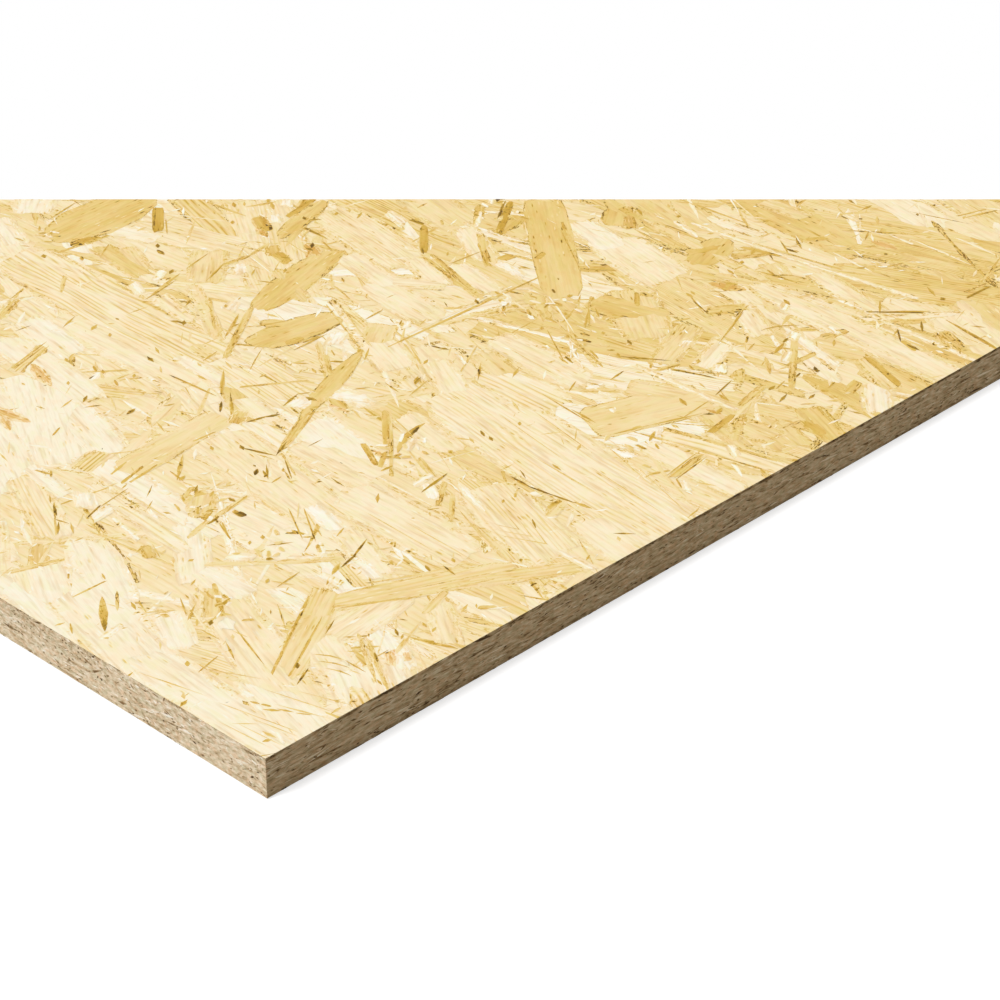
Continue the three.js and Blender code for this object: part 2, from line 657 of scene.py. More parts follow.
class Graph:
    """A material's node tree, with a short call for each node that the finishes use."""

    def __init__(self, name: str) -> None:
        """Makes the material with an empty tree.

        Args:
            name: The material's name.
        """
        self.material = bpy.data.materials.new(name)
        self.material.use_nodes = True
        self.tree = self.material.node_tree
        self.tree.nodes.clear()

    def add(self, kind: str, values: dict | None = None, **settings: object) -> bpy.types.Node:
        """Adds a node.

        Args:
            kind: The node's type, without the leading "ShaderNode".
            values: Sockets or constants for its inputs, by name or number.
            settings: Its own properties.

        Returns:
            The node.
        """
        node = self.tree.nodes.new("ShaderNode" + kind)
        for key, value in settings.items():
            setattr(node, key, value)
        for key, value in (values or {}).items():
            if isinstance(value, bpy.types.NodeSocket):
                self.tree.links.new(value, node.inputs[key])
            else:
                node.inputs[key].default_value = value
        return node

    def math(self, operation: str, *values: object) -> bpy.types.NodeSocket:
        """One step of arithmetic on sockets and numbers."""
        return self.add("Math", dict(enumerate(values)), operation=operation).outputs[0]

    def times(self, *parts: object) -> bpy.types.NodeSocket:
        """The product of sockets and numbers."""
        return reduce(lambda first, second: self.math("MULTIPLY", first, second), parts)

    def total(self, *parts: object) -> bpy.types.NodeSocket:
        """The sum of sockets and numbers."""
        return reduce(lambda first, second: self.math("ADD", first, second), parts)

    def step(self, value: object, low: float, high: float) -> bpy.types.NodeSocket:
        """A smooth step between two values, which may fall as well as rise.

        Args:
            value: The value to judge.
            low: Where the step is 0. It may be the larger of the two.
            high: Where it is 1.

        Returns:
            The step.
        """
        flip = high < low
        ends = {"From Min": min(low, high), "From Max": max(low, high)}
        ends |= {"To Min": float(flip), "To Max": float(not flip)}
        return self.add("MapRange", {"Value": value} | ends, interpolation_type="SMOOTHSTEP").outputs[0]

    def vector(self, x: object, y: object, z: object) -> bpy.types.NodeSocket:
        """A vector of three sockets or numbers."""
        return self.add("CombineXYZ", {0: x, 1: y, 2: z}).outputs[0]

    def noise(
        self, place: object, scale: float, detail: float = 2.0, rough: float = 0.5
    ) -> bpy.types.NodeSocket:
        """Noise about MIDDLE, with a scale for the whole place."""
        values = {"Vector": place, "Scale": scale, "Detail": detail, "Roughness": rough}
        return self.add("TexNoise", values).outputs[0]

    def cells(self, place: object) -> tuple[bpy.types.NodeSocket, ...]:
        """Scattered cells of size 1.

        Args:
            place: The place to look at.

        Returns:
            The distance from the nearest cell's middle, and two random draws of that cell.
        """
        cells = self.add("TexVoronoi", {"Vector": place, "Scale": 1.0})
        draws = self.add("SeparateColor", {0: cells.outputs["Color"]})
        return cells.outputs["Distance"], draws.outputs[0], draws.outputs[1]

    def attribute(self, name: str) -> tuple[bpy.types.NodeSocket, ...]:
        """The three numbers of a vector attribute."""
        split = self.add("SeparateXYZ", {0: self.add("Attribute", attribute_name=name).outputs["Vector"]})
        return tuple(split.outputs)

    def ramp(self, value: object, stops: Stops) -> bpy.types.NodeSocket:
        """A colour ramp.

        Args:
            value: Where on the ramp.
            stops: Pairs of a place and a colour in display values.

        Returns:
            The colour.
        """
        node = self.add("ValToRGB", {0: value})
        elements = node.color_ramp.elements
        while len(elements) < len(stops):
            elements.new(0.5)
        for element, (place, colour) in zip(elements, stops):
            element.position, element.color = place, srgb(*colour)
        return node.outputs[0]

    def mix(self, share: object, first: object, second: object, blend: str = "MIX") -> bpy.types.NodeSocket:
        """A mix of two colours."""
        values = {MIX_SHARE: share, MIX_FIRST: first, MIX_SECOND: second}
        return self.add("Mix", values, data_type="RGBA", blend_type=blend).outputs[MIX_COLOUR]

    def surface(
        self, colour: object, height: object, depth: float, **constants: float
    ) -> bpy.types.Material:
        """Ends the tree in a matt surface with a fine relief.

        Args:
            colour: Its colour.
            height: Its relief, from 0 to 1.
            depth: The relief's depth in metres.
            constants: Plain values of the shader's own sockets, with _ for a space.

        Returns:
            The material.
        """
        bump = self.add("Bump", {"Height": height, "Distance": depth, "Strength": 1.0})
        shader = self.add("BsdfPrincipled", {"Base Color": colour, "Normal": bump.outputs[0]})
        for name, value in constants.items():
            shader.inputs[name.replace("_", " ")].default_value = value
        self.add("OutputMaterial", {0: shader.outputs[0]})
        return self.material


WHITE = (1.0, 1.0, 1.0, 1.0)

# A step is a pair of values of a pattern: a mark is wholly absent at the first and whole at the second.
BEND = Cloud(0.012, 0.05, detail=1.0)  # the wander of the growth rings
MOTTLE = Cloud(0.03, 0.09)
RING_PATCH = Cloud(0.025, 0.14, detail=1.0, scale=2.0)  # where the growth rings show
RING_STEP = (0.3, 0.62)
RING_BEND = 5.5  # how many pitches the rings wander at most
RING_POWER = 2.6  # narrows their dark lines
RING_DARK = 0.34  # how far a full line moves the tone
STROKE_STEP = (0.4, 0.1)  # of the distance from a stroke's middle
STROKE_PATCH = (0.42, 0.6)  # of the mottle, where the wood is torn
DARK_DRAW, PALE_DRAW = (0.62, 0.75), (0.66, 0.78)  # of the random draws that make a stroke dark or pale
PALE_SHARE = -0.6  # what a pale stroke does to the tone for each dark one
RAGGED = Cloud(0.25, 0.8, detail=3.0, rough=0.65)  # the torn border of a frayed rim
RAGGED_REACH = 3.0  # how far it wanders, in widths of the rim
FRAY_WIDTH = 5.0  # millimetres in from a rim that fray at most
FRAY_HALF = 1.6  # and as a share of the strand's half width
FRAY_STEP = (0.6, 0.1)
# The dark line along a frayed rim is partly the gap round the strand, partly painted shadow of its edge.
RIM_BREAK = Cloud(0.09, 0.12)  # where the line along a ragged rim breaks off
BREAK_STEP = (0.4, 0.58)
RIM_DARK = 0.75  # how far that line moves the tone at most
RIM_SHADE = 0.1  # and how far it darkens the colour as painted shadow
AMBER_TINT = (1.0, 0.87, 0.95, 1.0)  # what the most orange wood multiplies the linear colour by
WARM_STEP, COOL_STEP = (0.5, 0.68), (0.5, 0.32)  # of the cloud of hue
SHADE_TINT = (0.6, 0.36, 0.0, 1.0)  # what full shade would multiply the linear colour by
STREAK_STEP = (0.46, 0.8)
SHADE_GAIN, SHADE_BASE = 0.9, 0.3  # a strand's shade is its fray times the first plus the second
TORN_DEPTH, RING_HEIGHT = -1.5, 0.3  # relief of dark strokes and ring lines for 1 of the fibre lines
SPECULAR = 0.2

CRUMB_LAYERS = ((18.0, 6.0, 1.7), (-38.0, 4.6, 1.5), (74.0, 3.6, 1.4))  # degrees, length, width
CRUMB_SWAY, SWAY_REACH = 110.0, 0.012  # waves in a metre of the layers' sway, and metres of it
CRUMB_CLUSTERS = 42.0  # clusters in a metre
CLUSTER_STEP = (0.46, 0.62)
CRUMB_SHARES = (0.8, 0.2)  # of the crumbs, those only in clusters and those anywhere
CRUMB_GAP = (6.0, 0.5)  # millimetres in from a rim
CRUMB_DRAW = (0.5, 0.56)  # of the random draw that puts a crumb in a cell
CRUMB_SPOT = (0.5, 0.2)  # of the distance from its middle
CRUMB_PALEST = -0.36  # what the palest crumb does to the tone; the darkest adds 1 to it

TOP_BAND_PATCHES = 90.0  # patches of the top band in a metre
TOP_BAND_STEP = (0.36, 0.54)
TOP_BAND = (2.0, 0.9)  # millimetres under the sheet's top
BOTTOM_SHADE_BAND = (2.8, 0.6)  # millimetres over its underside; the darkening there is painted shade by the floor


@dataclass(frozen=True)
class StrandFinish:
    """Planed softwood under a thin film of resin, with grain that follows each strand."""

    name: str
    stops: Stops  # the colours of tones 0 to 1
    fibre: float  # how far the fine fibre lines move the tone
    mottle: float  # and the clouds
    tear: float  # and the torn strokes
    fibre_rate: tuple[float, float]  # fibre lines in a millimetre along and across the grain
    stroke_rate: tuple[float, float]  # torn strokes in a millimetre, the same way
    roughness: float
    relief: float  # metres
    crumb: float = 0.0  # how far the crumbs between the strands move the tone
    dark_bands: tuple[float, float] | None = None  # how much darker a sawn edge is in a patchy band at its top, and in a band of painted shade at its bottom
    shade: float = 0.0  # how far long faint streaks darken the colour
    streak_rate: tuple[float, float] = (0.055, 0.5)  # those streaks in a millimetre, the same way
    hue_rate: tuple[float, float] = (0.12, 0.24)  # clouds of hue in a millimetre, the same way
    warm: tuple[float, float, float] = (255, 250, 247)  # what the warmer wood is multiplied by
    cool: tuple[float, float, float] = (252, 254, 245)  # and the cooler wood

    def crumbs(self, g: Graph, gap: bpy.types.NodeSocket) -> bpy.types.NodeSocket | float:
        """The short strokes of dust and splinters pressed in along the strands' rims.

        Layers of stretched cells, each turned another way, are kept where a cloud and the nearness of
        a rim let them show. A cell's random draws say whether it is there and how dark.

        Args:
            g: The finish's tree.
            gap: The distance inwards from the strand's rim, in millimetres.

        Returns:
            What they add to the tone.
        """
        if not self.crumb:
            return 0.0
        place = g.add("TexCoord").outputs["Object"]
        sway = g.add("TexNoise", {"Vector": place, "Scale": CRUMB_SWAY, "Detail": 1.0}).outputs["Color"]
        sway = g.add("VectorMath", {0: sway, 1: (MIDDLE,) * 3}, operation="SUBTRACT").outputs[0]
        sway = g.add("VectorMath", {0: sway, "Scale": SWAY_REACH}, operation="SCALE").outputs[0]
        place = g.add("VectorMath", {0: place, 1: sway}).outputs[0]
        cluster = g.step(g.noise(place, CRUMB_CLUSTERS), *CLUSTER_STEP)
        shown = g.times(g.step(gap, *CRUMB_GAP), g.math("MULTIPLY_ADD", cluster, *CRUMB_SHARES))
        layers = []
        for turn, length, width in CRUMB_LAYERS:
            size, lie = (length * MM, width * MM, width * MM), (0.0, 0.0, math.radians(turn))
            turned = {0: place, "Rotation": lie, "Scale": size}
            distance, drawn, dark = g.cells(g.add("Mapping", turned, vector_type="TEXTURE").outputs[0])
            spot = g.times(g.step(distance, *CRUMB_SPOT), g.step(drawn, *CRUMB_DRAW))
            layers.append(g.times(spot, g.total(dark, CRUMB_PALEST)))
        return g.times(g.total(*layers), shown, self.crumb)

    def pressed(self, g: Graph) -> bpy.types.NodeSocket | float:
        """A patchy darker band at a sawn edge's top, and a band of painted shade along its bottom by the
        floor.

        Args:
            g: The finish's tree.

        Returns:
            What they add to the tone.
        """
        if not self.dark_bands:
            return 0.0
        place = g.add("TexCoord").outputs["Object"]
        height = g.add("SeparateXYZ", {0: place}).outputs[2]
        top = float(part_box(BOARD_NODE)[1][2])
        patchy = g.step(g.noise(place, TOP_BAND_PATCHES), *TOP_BAND_STEP)
        high = g.times(g.step(height, *(top - depth * MM for depth in TOP_BAND)), patchy)
        # the bottom band is painted shade where the sheet meets the floor
        low = g.step(height, *(rise * MM for rise in BOTTOM_SHADE_BAND))
        return g.total(g.times(high, self.dark_bands[0]), g.times(low, self.dark_bands[1]))

    def material(self) -> bpy.types.Material:
        """Builds the finish.

        The tone of a point is its strand's, plus growth rings across the grain that come and go, fine
        fibre lines and clouds along it, and torn strokes in patches. Towards the rim it fades raggedly
        to the ground's tone, and a broken dark line follows where it does: the gap round the strand and
        painted shadow of its edge. Crumbs, a patchy darker band at a sawn edge's top and a band of
        painted shade along its bottom are added, and a ramp turns the tone into colour. A cloud of hue
        turns that warmer or cooler, amber turns it orange inside the rim, and long faint streaks shade it.

        Formula: the rings' wave is sin(2 pi (across / pitch + bend + seed)), and the line along the rim
        is 4 f (1 - f) for a rim that is frayed by f.

        Returns:
            The material.
        """
        g = Graph(self.name)
        along, across, seed = g.attribute("grain")
        reach, half, amber = g.attribute("span")
        tone, ring, pitch = g.attribute("look")
        edge, fray, ground = g.attribute("rim")

        def stretched(x: float, y: float) -> bpy.types.NodeSocket:
            """The place on the strand, with x and y for a millimetre along and across."""
            return g.vector(g.times(along, x), g.times(across, y), seed)

        def cloudy(cloud: Cloud) -> bpy.types.NodeSocket:
            """Noise that lies on the strand."""
            place = stretched(cloud.along, cloud.across)
            return g.noise(place, cloud.scale, cloud.detail, cloud.rough)

        def centred(value: bpy.types.NodeSocket, size: float) -> bpy.types.NodeSocket:
            """Noise moved to lie about 0, times its size."""
            return g.times(g.math("SUBTRACT", value, MIDDLE), size)

        fine = cloudy(Cloud(*self.fibre_rate, detail=3.0, rough=0.6))
        cloud, bend = cloudy(MOTTLE), cloudy(BEND)
        turns = g.total(g.math("DIVIDE", across, pitch), g.times(bend, RING_BEND), seed)
        wave = g.math("SINE", g.times(turns, 2 * math.pi))
        lines = g.math("POWER", g.math("MULTIPLY_ADD", wave, 0.5, 0.5), RING_POWER)
        lines = g.times(lines, g.step(cloudy(RING_PATCH), *RING_STEP))
        moved = {0: stretched(*self.stroke_rate), 1: g.vector(bend, fine, 0.0)}
        distance, dark_draw, pale_draw = g.cells(g.add("VectorMath", moved).outputs[0])
        stroke = g.times(g.step(distance, *STROKE_STEP), g.step(cloud, *STROKE_PATCH))
        dark = g.times(stroke, g.step(dark_draw, *DARK_DRAW))
        pale = g.times(stroke, g.step(pale_draw, *PALE_DRAW))
        wood = g.total(
            tone,
            g.times(lines, ring, RING_DARK),
            centred(fine, self.fibre),
            centred(cloud, self.mottle),
            g.times(dark, self.tear),
            g.times(pale, PALE_SHARE * self.tear),
        )
        side_gap = g.math("SUBTRACT", half, g.math("ABSOLUTE", across))
        end_gap = g.math("SUBTRACT", reach, g.math("ABSOLUTE", along))
        gap = g.math("MINIMUM", side_gap, end_gap)
        zone = g.math("MINIMUM", g.times(half, FRAY_HALF), g.times(fray, FRAY_WIDTH))
        ragged = centred(cloudy(RAGGED), RAGGED_REACH)
        frayed = g.step(g.math("SUBTRACT", g.math("DIVIDE", gap, zone), ragged), *FRAY_STEP)
        faded = g.times(frayed, fray)
        lost = g.times(g.math("SUBTRACT", ground, wood), faded)
        # the rim line: the gap round the strand with painted shadow of its edge
        rim_gap_shadow = g.times(frayed, g.math("SUBTRACT", 1.0, frayed), 4.0, edge)
        line = g.times(rim_gap_shadow, g.step(cloudy(RIM_BREAK), *BREAK_STEP), RIM_DARK)
        total = g.total(wood, lost, line, g.times(self.crumbs(g, gap), fray), self.pressed(g))
        colour = g.ramp(total, self.stops)
        hue = cloudy(Cloud(*self.hue_rate, detail=1.0))
        tint = g.mix(g.step(hue, *WARM_STEP), WHITE, srgb(*self.warm))
        tint = g.mix(g.step(hue, *COOL_STEP), tint, srgb(*self.cool))
        colour = g.mix(1.0, colour, tint, "MULTIPLY")
        colour = g.mix(g.times(amber, g.math("SUBTRACT", 1.0, faded)), colour, AMBER_TINT, "MULTIPLY")
        streaks = g.step(cloudy(Cloud(*self.streak_rate)), *STREAK_STEP)
        streaks = g.times(streaks, g.math("MULTIPLY_ADD", fray, SHADE_GAIN, SHADE_BASE), self.shade)
        colour = g.mix(g.total(streaks, g.times(rim_gap_shadow, RIM_SHADE)), colour, SHADE_TINT, "MULTIPLY")
        height = g.total(fine, g.times(dark, TORN_DEPTH), g.times(lines, RING_HEIGHT))
        return g.surface(
            colour, height, self.relief, Roughness=self.roughness, Specular_IOR_Level=SPECULAR
        )


FACE_STOPS: Stops = (
    (0.0, (255, 252, 240)),
    (0.12, (253, 245, 222)),
    (0.3, (252, 235, 197)),
    (0.45, (245, 221, 165)),
    (0.58, (237, 208, 135)),
    (0.7, (225, 187, 95)),
    (0.82, (204, 162, 58)),
    (0.9, (166, 130, 42)),
    (1.0, (98, 73, 16)),
)
SIDE_STOPS: Stops = (
    (0.0, (255, 244, 228)),
    (0.2, (246, 230, 206)),
    (0.4, (228, 208, 176)),
    (0.6, (200, 177, 141)),
    (0.8, (150, 124, 86)),
    (1.0, (82, 62, 38)),
)
# The ends' ramp is darker and browner than the sides': partly the end grain's own colour, partly painted
# shade matching the near end edge, which the lamp does not reach.
END_STOPS: Stops = (
    (0.0, (246, 224, 190)),
    (0.2, (230, 205, 166)),
    (0.4, (208, 180, 138)),
    (0.6, (182, 153, 110)),
    (0.8, (138, 110, 68)),
    (1.0, (84, 62, 32)),
)

FACE_FINISH = StrandFinish(
    name="pressed_face",
    stops=FACE_STOPS,
    fibre=0.14,
    mottle=0.3,
    tear=0.34,
    fibre_rate=(0.045, 0.85),
    stroke_rate=(0.14, 0.75),
    roughness=0.62,
    relief=0.00006,
    crumb=1.15,
    shade=0.3,
)
SIDE_FINISH = StrandFinish(
    name="sawn_side",
    stops=SIDE_STOPS,
    fibre=1.2,
    mottle=0.3,
    tear=0.5,
    fibre_rate=(0.34, 0.65),
    stroke_rate=(0.5, 1.0),
    roughness=0.8,
    relief=0.00012,
    dark_bands=(0.16, 0.1),
    hue_rate=(0.28, 0.4),
    warm=(255, 244, 236),
    cool=(246, 252, 250),
)
END_FINISH = replace(
    SIDE_FINISH,
    name="sawn_end",
    stops=END_STOPS,
    fibre_rate=(0.2, 0.75),
    stroke_rate=(0.36, 1.0),
    dark_bands=(0.34, 0.12),
)


WAFERS = Kind(
    form=BROAD,
    cut=Cut.WAFER,
    per_m2=420,
    length=(70, 150),
    width=(15, 46),
    spread=15,
    stray=0.08,
    tones=((0.68, 0.29, 0.06), (0.12, 0.15, 0.04), (0.14, 0.42, 0.06), (0.06, 0.53, 0.05)),
    edge=(0.1, 0.8),
    levels=(0.13, 0.15),
    ring=(0.0, 0.9),
)
SHAVINGS = Kind(
    form=NARROW,
    cut=Cut.STRIP,
    per_m2=900,
    length=(35, 105),
    width=(4, 14),
    spread=26,
    stray=0.22,
    tones=((0.4, 0.3, 0.07), (0.22, 0.1, 0.05), (0.28, 0.45, 0.07), (0.1, 0.6, 0.06)),
    edge=(0.1, 0.8),
    levels=(0.124, 0.148),
    ring=(0.0, 0.7),
    fray=0.65,
)
SPLINTERS = Kind(
    form=NARROW,
    cut=Cut.SPLINTER,
    per_m2=3000,
    length=(12, 60),
    width=(0.8, 3.4),
    spread=32,
    stray=0.35,
    tones=((0.4, 0.12, 0.07), (0.36, 0.5, 0.08), (0.19, 0.63, 0.06), (0.05, 0.76, 0.05)),
    edge=(0.0, 0.4),
    levels=(0.11, 0.145),
    fray=0.45,
    bow=0.02,
)
FINES = Kind(
    form=TINY,
    cut=Cut.SPLINTER,
    per_m2=9500,
    length=(3, 12),
    width=(0.7, 2.2),
    spread=45,
    stray=0.6,
    tones=((0.4, 0.12, 0.07), (0.36, 0.52, 0.09), (0.18, 0.7, 0.07), (0.06, 0.9, 0.05)),
    edge=(0.0, 0.2),
    levels=(0.06, 0.14),
    fray=0.35,
)
FACE_KINDS = (WAFERS, SHAVINGS, SPLINTERS, FINES)

